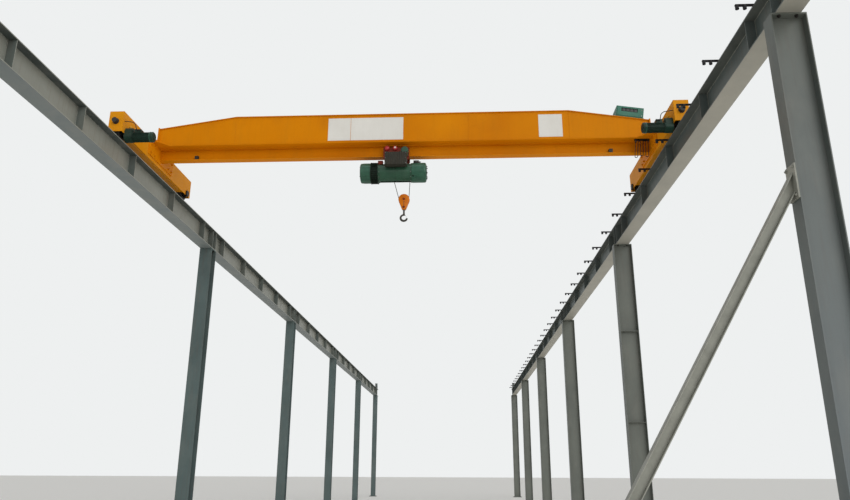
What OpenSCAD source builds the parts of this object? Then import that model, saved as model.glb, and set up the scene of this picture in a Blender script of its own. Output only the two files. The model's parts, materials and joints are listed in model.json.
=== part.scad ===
// Overhead bridge crane: a single box girder with a wire rope hoist,
// on two rows of columns that carry the runway beams and rails.
// The origin is at the floor under the first left column.
// +X goes across to the right row, +Y along the runway, +Z up.

/* [Runway layout] */
// Distance between columns along the runway
bay_l = 7500; // [6000:50:7500]
// Number of bays
bays = 5; // [2:1:5]
// Distance between the two rails
rail_span = 8430; // [7600:10:9600]
// Height of the columns, from the floor to the beams
column_h = 5818; // [5200:1:6400]
// Length of runway beam past the last columns
runway_end = 500; // [400:10:700]

/* [Columns] */
// Width of a left column
left_b = 250; // [200:1:300]
// Depth of a left column
left_d = 250; // [200:1:300]
// Flange thickness of a left column
left_tf = 14; // [9:0.5:16]
// Web thickness of a left column
left_tw = 9; // [6:0.5:12]
// Depth of a right column
right_d = 350; // [300:1:400]
// Flange width of a right column
right_b = 175; // [150:1:220]
// Flange thickness of a right column
right_tf = 11; // [9:0.5:14]
// Web thickness of a right column
right_tw = 7; // [6:0.5:12]
// Thickness of the plate on top of a column
cap_t = 16; // [12:1:20]
// Heights of the web stiffeners on the second right column
stiffener_levels = [2350, 4055]; // [1000:5:5000]

/* [Base plates] */
// Thickness of a base plate
base_t = 25; // [20:1:32]
// Width of a left base plate
left_base_w = 420; // [380:5:460]
// Length of a left base plate
left_base_l = 420; // [380:5:460]
// Width of a right base plate
right_base_w = 500; // [460:5:560]
// Length of a right base plate
right_base_l = 360; // [320:5:420]
// Diameter of an anchor hole
anchor_hole_d = 26; // [22:1:30]
// Distance from a plate's edge to its anchor holes
anchor_edge = 55; // [45:1:60]

/* [Runway beams] */
// Depth of a runway beam
beam_h = 400; // [350:5:450]
// Flange width of a runway beam
beam_b = 250; // [200:5:280]
// Flange thickness of a runway beam
beam_tf = 14; // [10:0.5:18]
// Web thickness of a runway beam
beam_tw = 8; // [6:0.5:12]
// Gap between the ends of two beams on a column
beam_gap = 10; // [6:1:16]
// Number of web stiffeners in a bay
bay_stiffeners = 5; // [2:1:6]
// Distance from a column to the first web stiffener
stiffener_first = 610; // [400:10:900]
// Thickness of a web stiffener
stiffener_t = 10; // [8:1:12]
// Distance from a beam's end to its bearing stiffener
bearing_inset = 90; // [70:5:120]

/* [Rails] */
// Height of the rail
rail_h = 80; // [65:1:95]
// Width of the rail foot
rail_foot_b = 80; // [65:1:95]
// Width of the rail head
rail_head_b = 43; // [38:1:48]
// Height of the rail head
rail_head_h = 22; // [18:1:26]
// Thickness of the rail web
rail_tw = 9; // [7:0.5:12]
// Thickness of the rail foot at its edge
rail_foot_h = 9; // [7:0.5:11]
// Height of an end stop above the beam
stop_h = 370; // [350:5:400]
// Thickness of the plates of an end stop
stop_t = 16; // [12:1:20]
// Length of an end stop along the rail
stop_l = 150; // [120:5:180]

/* [Conductor brackets] */
// Brackets in a bay
bracket_count = 7; // [3:1:10]
// Place of the first bracket past the first column
bracket_start = 340; // [200:10:600]
// How far a bracket reaches in from the beam
bracket_reach = 190; // [150:5:210]
// Height of a bracket arm
bracket_arm_h = 24; // [18:1:30]
// Width of a bracket arm
bracket_arm_w = 30; // [20:1:40]
// Diameter of an insulator
insulator_d = 40; // [30:1:48]
// Height of an insulator
insulator_h = 46; // [36:1:56]

/* [Raking strut] */
// Width of the strut
strut_b = 100; // [90:1:125]
// Thickness of the strut's flanges
strut_tf = 9; // [7:0.5:12]
// Thickness of the strut's web
strut_tw = 7; // [6:0.5:10]
// Height where the strut meets the column
strut_top = 4060; // [3000:10:4600]
// Distance from the column's centre to the strut's foot
strut_run = 2630; // [1800:10:3000]
// Thickness of the strut's end plates
strut_plate_t = 16; // [12:1:20]

/* [Bridge] */
// Where the bridge stands along the runway
bridge_y = 4600; // [4200:10:5200]
// Width of the girder
girder_b = 400; // [340:5:440]
// Depth of the girder at midspan
girder_h = 520; // [440:5:600]
// Depth of the girder at its ends
girder_end_h = 320; // [260:5:360]
// Length of the sloping part at each end
girder_taper_l = 1300; // [900:10:1500]
// Thickness of the girder's flange plates
girder_flange_t = 12; // [8:1:16]
// Thickness of the girder's web plates
girder_web_t = 8; // [6:1:10]
// How far the flange plates stand out past the webs
girder_lip = 20; // [12:1:26]
// Depth of the hoist's track beam
track_h = 205; // [190:5:240]
// Width of the track's flange
track_b = 130; // [116:1:140]
// Thickness of the track's flange
track_tf = 12; // [10:0.5:14]
// Thickness of the track's web
track_tw = 8; // [6:0.5:10]

/* [End trucks] */
// Length of an end truck
truck_l = 2790; // [2500:10:3000]
// Width of an end truck
truck_b = 220; // [200:2:240]
// Height of an end truck
truck_h = 330; // [310:5:350]
// Thickness of an end truck's plates
truck_t = 8; // [6:1:10]
// Distance from the truck's end to the wheel's axis
wheel_inset = 150; // [140:1:180]
// Length of the opening for a wheel
wheel_pocket_l = 320; // [300:5:360]
// Diameter of a wheel's tread
tread_d = 200; // [180:1:220]
// Width of a wheel's tread
tread_w = 60; // [54:1:68]
// Height of a wheel's flanges
wheel_flange_h = 18; // [14:1:20]
// Thickness of a wheel's flanges
wheel_flange_t = 18; // [14:1:22]
// Diameter of an axle
axle_d = 50; // [44:1:56]
// Diameter of a bearing housing
bearing_d = 116; // [104:1:124]
// Thickness of a bearing housing
bearing_t = 22; // [16:1:26]
// Diameter of a rubber buffer
buffer_d = 80; // [60:1:100]
// Length of a rubber buffer
buffer_l = 60; // [50:1:80]

/* [Bolted ends] */
// Width of a girder's end plate where it is bolted
end_plate_w = 960; // [800:10:1000]
// Thickness of a girder's end plate
end_plate_t = 20; // [14:1:24]
// Thickness of the gussets
gusset_t = 10; // [8:1:14]

/* [Travel drives] */
// Height of the drive motor's axis below the wheel's axis
drive_drop = 78; // [65:1:82]
// Thickness of the drive gearbox
drive_box_t = 110; // [90:1:125]
// Number of cooling ribs on a drive motor
drive_ribs = 24; // [16:1:32]
// Diameter of the drive motor
drive_motor_d = 160; // [140:1:168]
// Length of the drive motor
drive_motor_l = 330; // [290:5:350]

/* [Cabinet] */
// Length of the electrical cabinet
cabinet_l = 445; // [420:5:540]
// Height of the electrical cabinet
cabinet_h = 190; // [160:5:220]
// Depth of the electrical cabinet
cabinet_w = 320; // [260:5:360]
// Distance from the girder's end to the cabinet
cabinet_inset = 85; // [60:5:160]

/* [Festoon] */
// Number of cable loops
festoon_loops = 5; // [3:1:6]
// Height of a cable loop
festoon_drop = 300; // [260:5:330]
// Diameter of the festoon cable
festoon_cable_d = 16; // [12:0.5:18]
// Distance between the legs of a loop
festoon_leg = 40; // [36:1:44]

/* [Hoist] */
// Place of the hoist from the left rail
hoist_x = 4095; // [3900:5:4500]
// Height of the drum's axis below the track
drum_drop = 272; // [262:1:285]
// Diameter of the drum housing
drum_shell_d = 310; // [290:1:325]
// Length of the drum housing
drum_shell_l = 562; // [540:2:600]
// Thickness of the drum housing's wall
drum_shell_t = 8; // [6:0.5:10]
// Thickness of the rope drum's wall
rope_drum_t = 12; // [9:1:16]
// Diameter of the rope drum
rope_drum_d = 236; // [200:1:250]
// Distance from the brake ring to the housing's seam
seam_x = 288; // [240:2:320]
// Number of cooling ribs on the brake ring
ring_ribs = 36; // [24:1:48]
// Diameter of the hoist motor and gearbox
hoist_end_d = 330; // [310:1:350]
// Diameter of the motor's brake ring
brake_ring_d = 360; // [336:2:370]
// Length of the hoist motor
hoist_motor_l = 174; // [160:2:190]
// Length of the motor's brake ring
brake_ring_l = 122; // [100:2:140]
// Length of the hoist gearbox
hoist_gear_l = 234; // [210:2:250]

/* [Trolley] */
// Length of the trolley's side plates
trolley_l = 430; // [410:5:460]
// Distance from the trolley's left edge to its middle
trolley_lead = 165; // [160:1:175]
// Size of the corner cut off a side plate
trolley_corner = 34; // [20:1:40]
// Diameter of the round ears on the side plates
ear_d = 92; // [80:1:100]
// Diameter of the trolley's drive motor
trolley_motor_d = 126; // [110:2:130]
// Length of the trolley's drive motor
trolley_motor_l = 118; // [100:2:130]
// Height of the trolley's side plates
trolley_plate_h = 225; // [215:1:240]
// Thickness of the trolley's side plates
trolley_t = 10; // [8:1:12]
// Diameter of a trolley wheel
trolley_wheel_d = 92; // [80:1:100]
// Distance between the trolley wheels
trolley_wheelbase = 220; // [200:5:240]
// Diameter of the trolley's suspension shafts
shaft_d = 32; // [28:1:36]

/* [Control box] */
// Length of the control box
control_l = 360; // [320:5:380]
// Height of the control box
control_h = 226; // [200:2:236]
// Depth of the control box
control_w = 112; // [100:2:120]
// Number of pressed ribs in the control box's lid
control_ribs = 9; // [5:1:13]

/* [Hook block] */
// Pitch diameter of the sheave
sheave_d = 156; // [148:1:160]
// Diameter of the rope
rope_d = 11; // [9:0.5:12]
// Height of the sheave's axis below the drum's axis
block_drop = 475; // [460:5:700]
// Distance from the sheave's axis to the hook's swivel
block_h = 140; // [136:1:150]
// Thickness of the block's cheek plates
cheek_t = 8; // [6:1:10]
// Width between the block's cheek plates
cheek_gap = 52; // [48:1:60]
// Thickness of the guard around the cheeks
guard_t = 3; // [2:0.5:3]
// Length of the hook's neck
hook_neck = 100; // [80:1:115]
// Inner diameter of the hook's bowl
hook_bowl_d = 72; // [64:1:80]
// Thickness of the hook's section
hook_section_d = 38; // [34:1:40]
// Diameter of the hook's shank
hook_shank_d = 30; // [26:1:32]

/* [Clearances] */
// Running clearance between a turned piece and its seat
run_gap = 0.5; // [0.3:0.1:1]
// Gap under a wheel's tread
wheel_lift = 0.3; // [0.2:0.1:0.5]

/* [Hidden] */

runway_l = bays * bay_l + 2 * runway_end;
beam_z = column_h;
beam_top = beam_z + beam_h;
rail_top = beam_top + rail_h;
stiffener_pitch = (bay_l - 2 * stiffener_first) / (bay_stiffeners - 1);
bracket_pitch = bay_l / bracket_count;

tread_r = tread_d / 2;
wheel_z = rail_top + tread_r + wheel_lift;
truck_clear = 62;
truck_z = rail_top + truck_clear;
truck_top = truck_z + truck_h;
wheel_near_y = bridge_y - truck_l / 2 + wheel_inset;
wheel_far_y = bridge_y + truck_l / 2 - wheel_inset;
wheel_w = tread_w + 2 * wheel_flange_t;

girder_z = truck_top - 10;
track_z = girder_z - track_h;
girder_x0 = truck_b / 2 + end_plate_t;
girder_x1 = rail_span - truck_b / 2 - end_plate_t;
taper_angle = atan((girder_h - girder_end_h) / girder_taper_l);

drum_z = track_z - drum_drop;
hoist_l = hoist_motor_l + brake_ring_l + drum_shell_l + hoist_gear_l;
hoist_x0 = hoist_x - hoist_l / 2;
brake_x = hoist_x0 + hoist_motor_l;
shell_x = brake_x + brake_ring_l;
gear_x = shell_x + drum_shell_l;
trolley_gap = 22;
trolley_y = track_b / 2 + trolley_gap;
trolley_x0 = hoist_x - trolley_lead;
ear_places = [hoist_x - 105, hoist_x + 30];
ear_z = girder_z - 75;
drive_x = trolley_x0 + trolley_l - trolley_motor_d / 2 - 10;
trolley_wheel_z = track_z + track_tf + trolley_wheel_d / 2 + wheel_lift;
shaft_z = track_z - 16 - shaft_d / 2;
trolley_z = max(shaft_z - 45, drum_z + sqrt(pow(drum_shell_d / 2, 2) - pow(trolley_y, 2)) + 8);

block_x = hoist_x + 180;
sheave_z = drum_z - block_drop;
crosshead_z = sheave_z - block_h;
hook_mouth = 66;
hook_r = hook_bowl_d / 2;
hook_z = crosshead_z - hook_neck - hook_r - hook_section_d;
pin_d = 36;
pin_half = cheek_gap / 2 + cheek_t + 8;
cheek_r = sheave_d / 2 + 13;
foot_r = 40;
crosshead_b = 52;
crosshead_h = 44;

steel_grey = "#7d8078";
girder_yellow = "#d98c1a";
drive_green = "#1f4a3c";
hoist_green = "#2c6b52";
dark = "#26262a";

// Upright I section, its foot on the X axis
module i_profile(h, b, tf, tw) {
    translate([-b / 2, 0]) square([b, tf]);
    translate([-b / 2, h - tf]) square([b, tf]);
    translate([-tw / 2, 0]) square([tw, h]);
}

// Carries a drawn section along +Y, with the drawing's height upright
module along_y(y0, l) {
    translate([0, y0 + l, 0]) rotate([90, 0, 0]) linear_extrude(l) children();
}

// Carries a drawn section along +X, with the drawing's height upright
module along_x(x0, l) {
    translate([x0, 0, 0]) rotate([90, 0, 90]) linear_extrude(l) children();
}

// Round bar along +X
module bar_x(x0, l, d) {
    translate([x0, 0, 0]) rotate([0, 90, 0]) cylinder(d = d, h = l, $fn = 48);
}

// Round bar along +Y
module bar_y(y0, l, d) {
    translate([0, y0, 0]) rotate([-90, 0, 0]) cylinder(d = d, h = l, $fn = 48);
}

module at_columns(x) {
    for (i = [0 : bays]) translate([x, i * bay_l, 0]) children();
}

module left_column() {
    translate([0, 0, base_t]) linear_extrude(column_h - base_t - cap_t)
        translate([0, -left_d / 2]) i_profile(left_d, left_b, left_tf, left_tw);
    translate([-left_b / 2, -left_d / 2, column_h - cap_t]) cube([left_b, left_d, cap_t]);
}

module right_column() {
    translate([0, 0, base_t]) linear_extrude(column_h - base_t - cap_t)
        translate([-right_d / 2, 0]) rotate(-90) translate([0, 0])
            i_profile(right_d, right_b, right_tf, right_tw);
    translate([-right_d / 2, -right_b / 2, column_h - cap_t]) cube([right_d, right_b, cap_t]);
}

module columns_left() {
    color(steel_grey) at_columns(0) left_column();
}

module columns_right() {
    color(steel_grey) {
        at_columns(rail_span) right_column();
        for (z = stiffener_levels)
            translate([rail_span - right_d / 2, bay_l - right_b / 2, z])
                cube([right_d, right_b, stiffener_t]);
    }
}

module base_plate(w, l) {
    difference() {
        translate([-w / 2, -l / 2, 0]) cube([w, l, base_t]);
        for (sx = [-1, 1], sy = [-1, 1])
            translate([sx * (w / 2 - anchor_edge), sy * (l / 2 - anchor_edge), -1])
                cylinder(d = anchor_hole_d, h = base_t + 2, $fn = 32);
    }
}

module base_plates_left() {
    color(steel_grey) at_columns(0) base_plate(left_base_w, left_base_l);
}

module base_plates_right() {
    color(steel_grey) at_columns(rail_span) base_plate(right_base_w, right_base_l);
}

// One beam, from y0 to y1, with stiffeners at the listed places
module runway_beam(y0, y1, stiffeners) {
    translate([0, 0, beam_z]) {
        along_y(y0, y1 - y0) i_profile(beam_h, beam_b, beam_tf, beam_tw);
        for (y = stiffeners)
            translate([-beam_b / 2 + 8, y - stiffener_t / 2, beam_tf])
                cube([beam_b - 16, stiffener_t, beam_h - 2 * beam_tf]);
    }
}

module runway_beams() {
    for (i = [0 : bays - 1]) {
        y0 = i == 0 ? -runway_end : i * bay_l + beam_gap / 2;
        y1 = i == bays - 1 ? bays * bay_l + runway_end : (i + 1) * bay_l - beam_gap / 2;
        seats = [i * bay_l + (i == 0 ? 0 : bearing_inset), (i + 1) * bay_l - (i == bays - 1 ? 0 : bearing_inset)];
        runway_beam(y0, y1, concat(seats, [for (k = [0 : bay_stiffeners - 1]) i * bay_l + stiffener_first + k * stiffener_pitch]));
    }
}

module runway_beams_left() {
    color(steel_grey) runway_beams();
}

module runway_beams_right() {
    color(steel_grey) translate([rail_span, 0, 0]) runway_beams();
}

module rail() {
    foot = rail_foot_b / 2;
    web = rail_tw / 2;
    head = rail_head_b / 2;
    top = rail_h - rail_head_h;
    fillet = 6;
    translate([0, 0, beam_top]) along_y(-runway_end, runway_l)
        polygon([[-foot, 0], [foot, 0], [foot, rail_foot_h], [web + fillet, rail_foot_h + 5], [web, rail_foot_h + 5 + fillet],
                 [web, top - fillet], [head, top], [head, rail_h - 5], [head - 5, rail_h],
                 [-head + 5, rail_h], [-head, rail_h - 5], [-head, top], [-web, top - fillet],
                 [-web, rail_foot_h + 5 + fillet], [-web - fillet, rail_foot_h + 5], [-foot, rail_foot_h]]);
}

module rail_left() {
    color("#6a5a4e") rail();
}

module rail_right() {
    color("#6a5a4e") translate([rail_span, 0, 0]) rail();
}

// Stop that stands astride the rail; its face looks along +Y
module end_stop() {
    side = rail_foot_b / 2 + 14;
    for (s = [-1, 1])
        translate([s > 0 ? side : -side - stop_t, 0, 0]) rotate([90, 0, 90]) linear_extrude(stop_t)
            polygon([[0, 0], [stop_l, 0], [stop_l, stop_h], [stop_l * 0.55, stop_h]]);
    translate([-side, stop_l - stop_t, rail_h + 8]) cube([2 * side, stop_t, stop_h - rail_h - 8]);
}

module end_stops() {
    color(girder_yellow)
        for (x = [0, rail_span]) translate([x, 0, beam_top]) {
            translate([0, -runway_end, 0]) end_stop();
            translate([0, bays * bay_l + runway_end, 0]) mirror([0, 1, 0]) end_stop();
        }
}

module conductor_bracket() {
    arm_z = beam_top + 0.3;
    foot_l = 70;
    translate([-beam_b / 2 - bracket_reach, -bracket_arm_w / 2, arm_z])
        cube([bracket_reach + foot_l, bracket_arm_w, 8]);
    translate([-beam_b / 2 - bracket_reach, -4, arm_z - bracket_arm_h + 8])
        cube([bracket_reach - 6, 8, bracket_arm_h]);
    for (x = [20, 100])
        translate([-beam_b / 2 - bracket_reach + x, 0, arm_z - insulator_h])
            cylinder(d = insulator_d, h = insulator_h, $fn = 24);
}

module conductor_brackets() {
    color(dark)
        for (i = [0 : bays * bracket_count - 1])
            translate([rail_span, bracket_start + i * bracket_pitch, 0]) conductor_bracket();
}

// Sloping strut from the floor to the near right column's inner flange
module raking_strut() {
    head_x = rail_span - right_d / 2;
    foot_x = rail_span - strut_run;
    dx = head_x - foot_x;
    slope = atan2(strut_top, dx);
    length = norm([dx, strut_top]);
    reach = strut_b;
    plate_w = strut_b + 60;
    color("#8d8f84") {
        intersection() {
            translate([foot_x, 0, 0]) rotate([0, -slope, 0])
                along_x(-reach, length + 2 * reach)
                    translate([0, -strut_b / 2]) i_profile(strut_b, strut_b, strut_tf, strut_tw);
            translate([foot_x - 2 * strut_b, -strut_b, strut_plate_t])
                cube([dx + 2 * strut_b - strut_plate_t, 2 * strut_b, strut_top + strut_b]);
        }
        translate([foot_x - 1.1 * strut_b, -plate_w / 2, 0]) cube([2.2 * strut_b, plate_w, strut_plate_t]);
        translate([head_x - strut_plate_t, -right_b / 2, strut_top - 1.9 * strut_b])
            cube([strut_plate_t, right_b, 3.4 * strut_b]);
    }
}

// Side view of the girder: flat underneath, sloping down to both ends
module girder_side(inset = 0) {
    rise = girder_h - girder_end_h;
    polygon([[girder_x0, girder_z + inset], [girder_x1, girder_z + inset],
             [girder_x1, girder_z + girder_end_h - inset],
             [girder_x1 - girder_taper_l, girder_z + girder_end_h + rise - inset],
             [girder_x0 + girder_taper_l, girder_z + girder_end_h + rise - inset],
             [girder_x0, girder_z + girder_end_h - inset]]);
}

module girder_box() {
    web_y = girder_b / 2 - girder_lip;
    color(girder_yellow) {
        for (y = [bridge_y + web_y, bridge_y - web_y + girder_web_t])
            translate([0, y, 0]) rotate([90, 0, 0]) linear_extrude(girder_web_t) girder_side(inset = 1);
        translate([0, bridge_y + girder_b / 2, 0]) rotate([90, 0, 0]) linear_extrude(girder_b)
            difference() {
                girder_side();
                girder_side(inset = girder_flange_t);
            }
    }
}

module hoist_track() {
    color(girder_yellow)
        translate([0, bridge_y, track_z]) along_x(girder_x0, girder_x1 - girder_x0)
            i_profile(track_h, track_b, track_tf, track_tw);
}

// Bolted end: the plate against the end truck and its gussets
module girder_end() {
    plate_z = girder_z - 260;
    plate_top = girder_z + girder_end_h + 10;
    bolt_top = truck_top - 30;
    shoulder = girder_b / 2 + 15;
    gusset_l = 260;
    color(girder_yellow) {
        translate([truck_b / 2, bridge_y, 0]) rotate([90, 0, 90]) linear_extrude(end_plate_t)
            polygon([[-end_plate_w / 2, plate_z], [end_plate_w / 2, plate_z], [end_plate_w / 2, bolt_top],
                     [shoulder, bolt_top + 130], [shoulder, plate_top], [-shoulder, plate_top],
                     [-shoulder, bolt_top + 130], [-end_plate_w / 2, bolt_top]]);
        for (s = [-1, 1])
            translate([girder_x0, bridge_y + s * girder_b / 2, girder_z - gusset_t - 0.2])
                linear_extrude(gusset_t)
                    polygon([[0, s * (end_plate_w - girder_b) / 2 * 0.9], [0, -s * 30], [gusset_l, -s * 30]]);
    }
}

module girder_end_left() {
    girder_end();
}

module girder_end_right() {
    translate([rail_span, 0, 0]) mirror([1, 0, 0]) girder_end();
}

// Hollow end truck, open underneath where its wheels stand
module end_truck() {
    y0 = bridge_y - truck_l / 2;
    inner_b = truck_b - 2 * truck_t;
    color(girder_yellow)
        difference() {
            translate([-truck_b / 2, y0, truck_z]) cube([truck_b, truck_l, truck_h]);
            translate([-inner_b / 2, y0 + truck_t, truck_z + truck_t])
                cube([inner_b, truck_l - 2 * truck_t, truck_h - 2 * truck_t]);
            for (y = [y0 + truck_t, y0 + truck_l - truck_t - wheel_pocket_l])
                translate([-inner_b / 2, y, truck_z - 1]) cube([inner_b, wheel_pocket_l, truck_t + 2]);
            for (y = [wheel_near_y, wheel_far_y])
                translate([0, y, wheel_z]) bar_x(-truck_b, 2 * truck_b, axle_d + 4 * run_gap);
        }
}

module end_truck_left() {
    end_truck();
}

module end_truck_right() {
    translate([rail_span, 0, 0]) end_truck();
}

module bearing_housing() {
    difference() {
        bar_x(0, bearing_t, bearing_d);
        bar_x(-1, bearing_t + 2, axle_d + 2 * run_gap);
    }
}

// Housings on the truck's sides; the drive gearboxes take the near inner places
module bearing_housings() {
    color(dark) {
        for (y = [wheel_near_y, wheel_far_y]) {
            translate([-truck_b / 2 - bearing_t, y, wheel_z]) bearing_housing();
            translate([rail_span + truck_b / 2, y, wheel_z]) bearing_housing();
        }
        translate([truck_b / 2, wheel_far_y, wheel_z]) bearing_housing();
        translate([rail_span - truck_b / 2 - bearing_t, wheel_far_y, wheel_z]) bearing_housing();
    }
}

module buffer() {
    plate_t = 8;
    translate([0, -plate_t, 0]) bar_y(0, plate_t, buffer_d + 16);
    translate([0, -buffer_l, 0]) bar_y(0, buffer_l - plate_t, buffer_d);
}

module buffers() {
    z = truck_z + truck_h / 2;
    color(dark)
        for (x = [0, rail_span]) {
            translate([x, bridge_y - truck_l / 2, z]) buffer();
            translate([x, bridge_y + truck_l / 2, z]) mirror([0, 1, 0]) buffer();
        }
}

// Stops on both sides of the track's web that end the hoist's travel
module trolley_stops() {
    stop_x = 620;
    stop_w = 12;
    color(dark)
        for (x = [girder_x0 + stop_x, girder_x1 - stop_x], s = [-1, 1])
            translate([x - 30, bridge_y + (s > 0 ? track_tw / 2 : -track_tw / 2 - 46), track_z + track_tf])
                cube([60, 46, 60 + stop_w]);
}

// Wheel with two flanges, turned in one piece with its axle
module crane_wheel(axle_in, axle_out) {
    flange_r = tread_r + wheel_flange_h;
    hub_r = 48;
    rim_r = tread_r - 24;
    hub_w = wheel_w + 14;
    half = wheel_w / 2;
    web = 14;
    color("#3a3a3c") rotate([0, 90, 0]) rotate_extrude($fn = 64)
        polygon([[0, -axle_out], [axle_d / 2, -axle_out], [axle_d / 2, -hub_w / 2], [hub_r, -hub_w / 2],
                 [hub_r, -web], [rim_r, -web], [rim_r, -half], [flange_r, -half],
                 [flange_r, -half + wheel_flange_t - 3], [tread_r, -half + wheel_flange_t],
                 [tread_r, half - wheel_flange_t], [flange_r, half - wheel_flange_t + 3],
                 [flange_r, half], [rim_r, half], [rim_r, web], [hub_r, web],
                 [hub_r, hub_w / 2], [axle_d / 2, hub_w / 2], [axle_d / 2, axle_in], [0, axle_in]]);
}

module wheel_left_near() {
    translate([0, wheel_near_y, wheel_z])
        crane_wheel(truck_b / 2 + drive_box_t - 12, truck_b / 2 + bearing_t);
}

module wheel_left_far() {
    translate([0, wheel_far_y, wheel_z]) crane_wheel(truck_b / 2 + bearing_t, truck_b / 2 + bearing_t);
}

module wheel_right_near() {
    translate([rail_span, wheel_near_y, wheel_z]) mirror([1, 0, 0])
        crane_wheel(truck_b / 2 + drive_box_t - 12, truck_b / 2 + bearing_t);
}

module wheel_right_far() {
    translate([rail_span, wheel_far_y, wheel_z])
        crane_wheel(truck_b / 2 + bearing_t, truck_b / 2 + bearing_t);
}

// Gearbox on the truck's inner side, its upper bore on the wheel's axle
module travel_gearbox() {
    axle_r = 72;
    motor_r = 82;
    color(drive_green) difference() {
        translate([truck_b / 2, wheel_near_y, wheel_z]) along_x(0, drive_box_t) {
            circle(r = axle_r, $fn = 64);
            translate([0, -drive_drop]) circle(r = motor_r, $fn = 64);
            translate([-axle_r, -drive_drop]) square([2 * axle_r, drive_drop]);
        }
        translate([truck_b / 2, wheel_near_y, wheel_z])
            bar_x(-1, drive_box_t - 11 + run_gap, axle_d + 2 * run_gap);
    }
}

module travel_motor() {
    x0 = truck_b / 2 + drive_box_t;
    cowl_l = 62;
    flange_l = 14;
    body_l = drive_motor_l - cowl_l - flange_l;
    core_d = drive_motor_d - 26;
    box_l = 95;
    color(drive_green) translate([0, wheel_near_y, wheel_z - drive_drop]) {
        bar_x(x0, flange_l, drive_motor_d);
        bar_x(x0 + flange_l, body_l, core_d);
        for (i = [1 : drive_ribs - 1])
            rotate([i * 360 / drive_ribs, 0, 0])
                translate([x0 + flange_l, -2, core_d / 2 - 4]) cube([body_l, 4, 13]);
        translate([x0 + flange_l + body_l, 0, 0]) rotate([0, 90, 0]) rotate_extrude($fn = 64)
            polygon([[0, 0], [drive_motor_d / 2, 0], [drive_motor_d / 2, cowl_l - 12],
                     [drive_motor_d / 2 - 12, cowl_l], [0, cowl_l]]);
        translate([x0 + flange_l + 22, -45, core_d / 2 - 6]) cube([box_l, 90, drive_motor_d / 2 - core_d / 2 + 44]);
    }
}

module travel_gearbox_left() {
    travel_gearbox();
}

module travel_gearbox_right() {
    translate([rail_span, 0, 0]) mirror([1, 0, 0]) travel_gearbox();
}

module travel_motor_left() {
    travel_motor();
}

module travel_motor_right() {
    translate([rail_span, 0, 0]) mirror([1, 0, 0]) travel_motor();
}

// Puts a piece on the sloping top of the girder's right end
module on_right_slope() {
    translate([girder_x1, bridge_y, girder_z + girder_end_h]) rotate([0, taper_angle, 0]) children();
}

module electrical_cabinet() {
    feet_h = 24;
    door_t = 6;
    rim = 16;
    color("#4d9b8b") on_right_slope()
        difference() {
            union() {
                translate([-cabinet_inset - cabinet_l, -cabinet_w / 2, feet_h])
                    cube([cabinet_l, cabinet_w, cabinet_h]);
                translate([-cabinet_inset - cabinet_l + rim, -cabinet_w / 2 - door_t, feet_h + rim])
                    cube([cabinet_l - 2 * rim, door_t, cabinet_h - 2 * rim]);
            }
            translate([-cabinet_inset - cabinet_l + 80, -cabinet_w / 2 - door_t - 1, feet_h + cabinet_h * 0.5])
                cube([cabinet_l * 0.6, 19, cabinet_h * 0.34]);
        }
}

module cabinet_feet() {
    feet_h = 24;
    color(dark) on_right_slope()
        for (x = [40, cabinet_l - 80])
            translate([-cabinet_inset - cabinet_l + x, -cabinet_w / 2, 0.3]) cube([40, cabinet_w, feet_h - 0.3]);
}

festoon_y = bridge_y - girder_b / 2 + 60;
festoon_x = girder_x1 - 30;
festoon_top = girder_z - 34;

module festoon_cable() {
    r = festoon_leg / 2;
    pitch = festoon_leg;
    color(dark) translate([festoon_x - festoon_loops * pitch, festoon_y, festoon_top]) {
        for (i = [0 : festoon_loops])
            translate([i * pitch, 0, -festoon_drop + r]) cylinder(d = festoon_cable_d, h = festoon_drop - r, $fn = 16);
        for (i = [0 : 2 : festoon_loops - 1])
            translate([i * pitch + r, 0, -festoon_drop + r]) rotate([-90, 0, 0])
                rotate_extrude(angle = 180, $fn = 32) translate([r, 0]) circle(d = festoon_cable_d, $fn = 16);
    }
}

module festoon_hanger() {
    pitch = festoon_leg;
    color(dark) translate([festoon_x - (festoon_loops + 0.5) * pitch, festoon_y - 12, festoon_top + 0.3])
        cube([(festoon_loops + 1) * pitch, 24, girder_z - festoon_top - 0.6]);
}

module trolley_plates() {
    c = trolley_corner;
    color("#a5402f")
        for (s = [-1, 1])
            difference() {
                translate([0, bridge_y + (s > 0 ? trolley_y + trolley_t : -trolley_y), 0])
                    rotate([90, 0, 0]) linear_extrude(trolley_t) {
                        translate([trolley_x0, trolley_z])
                            polygon([[c, 0], [trolley_l - c, 0], [trolley_l, c], [trolley_l, trolley_plate_h],
                                     [0, trolley_plate_h], [0, c]]);
                        for (x = ear_places) {
                            translate([x, ear_z]) circle(d = ear_d, $fn = 64);
                            translate([x - ear_d / 2, ear_z - ear_d / 2]) square([ear_d, ear_d / 2]);
                        }
                    }
                for (x = [-1, 1])
                    translate([hoist_x + x * trolley_wheelbase / 2, bridge_y - 200, shaft_z])
                        bar_y(0, 400, shaft_d + 2 * run_gap);
            }
}

// Wheel on a stub axle that is fixed in the side plate
module trolley_wheel() {
    rotate([-90, 0, 0]) rotate_extrude($fn = 48)
        polygon([[0, 18], [trolley_wheel_d / 2 - 3, 18], [trolley_wheel_d / 2, 30],
                 [trolley_wheel_d / 2, track_b / 2 + 2], [trolley_wheel_d / 2 + 9, track_b / 2 + 4],
                 [trolley_wheel_d / 2 + 9, trolley_y - 4], [18, trolley_y - 4], [18, trolley_y], [0, trolley_y]]);
}

module trolley_wheels() {
    color("#3a3a3c")
        for (x = [-1, 1]) translate([hoist_x + x * trolley_wheelbase / 2, bridge_y, trolley_wheel_z]) {
            trolley_wheel();
            mirror([0, 1, 0]) trolley_wheel();
        }
}

module suspension_shafts() {
    reach = trolley_y + trolley_t + 14;
    color("#55565a")
        for (x = [-1, 1])
            translate([hoist_x + x * trolley_wheelbase / 2, bridge_y, shaft_z]) bar_y(-reach, 2 * reach, shaft_d);
}

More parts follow.
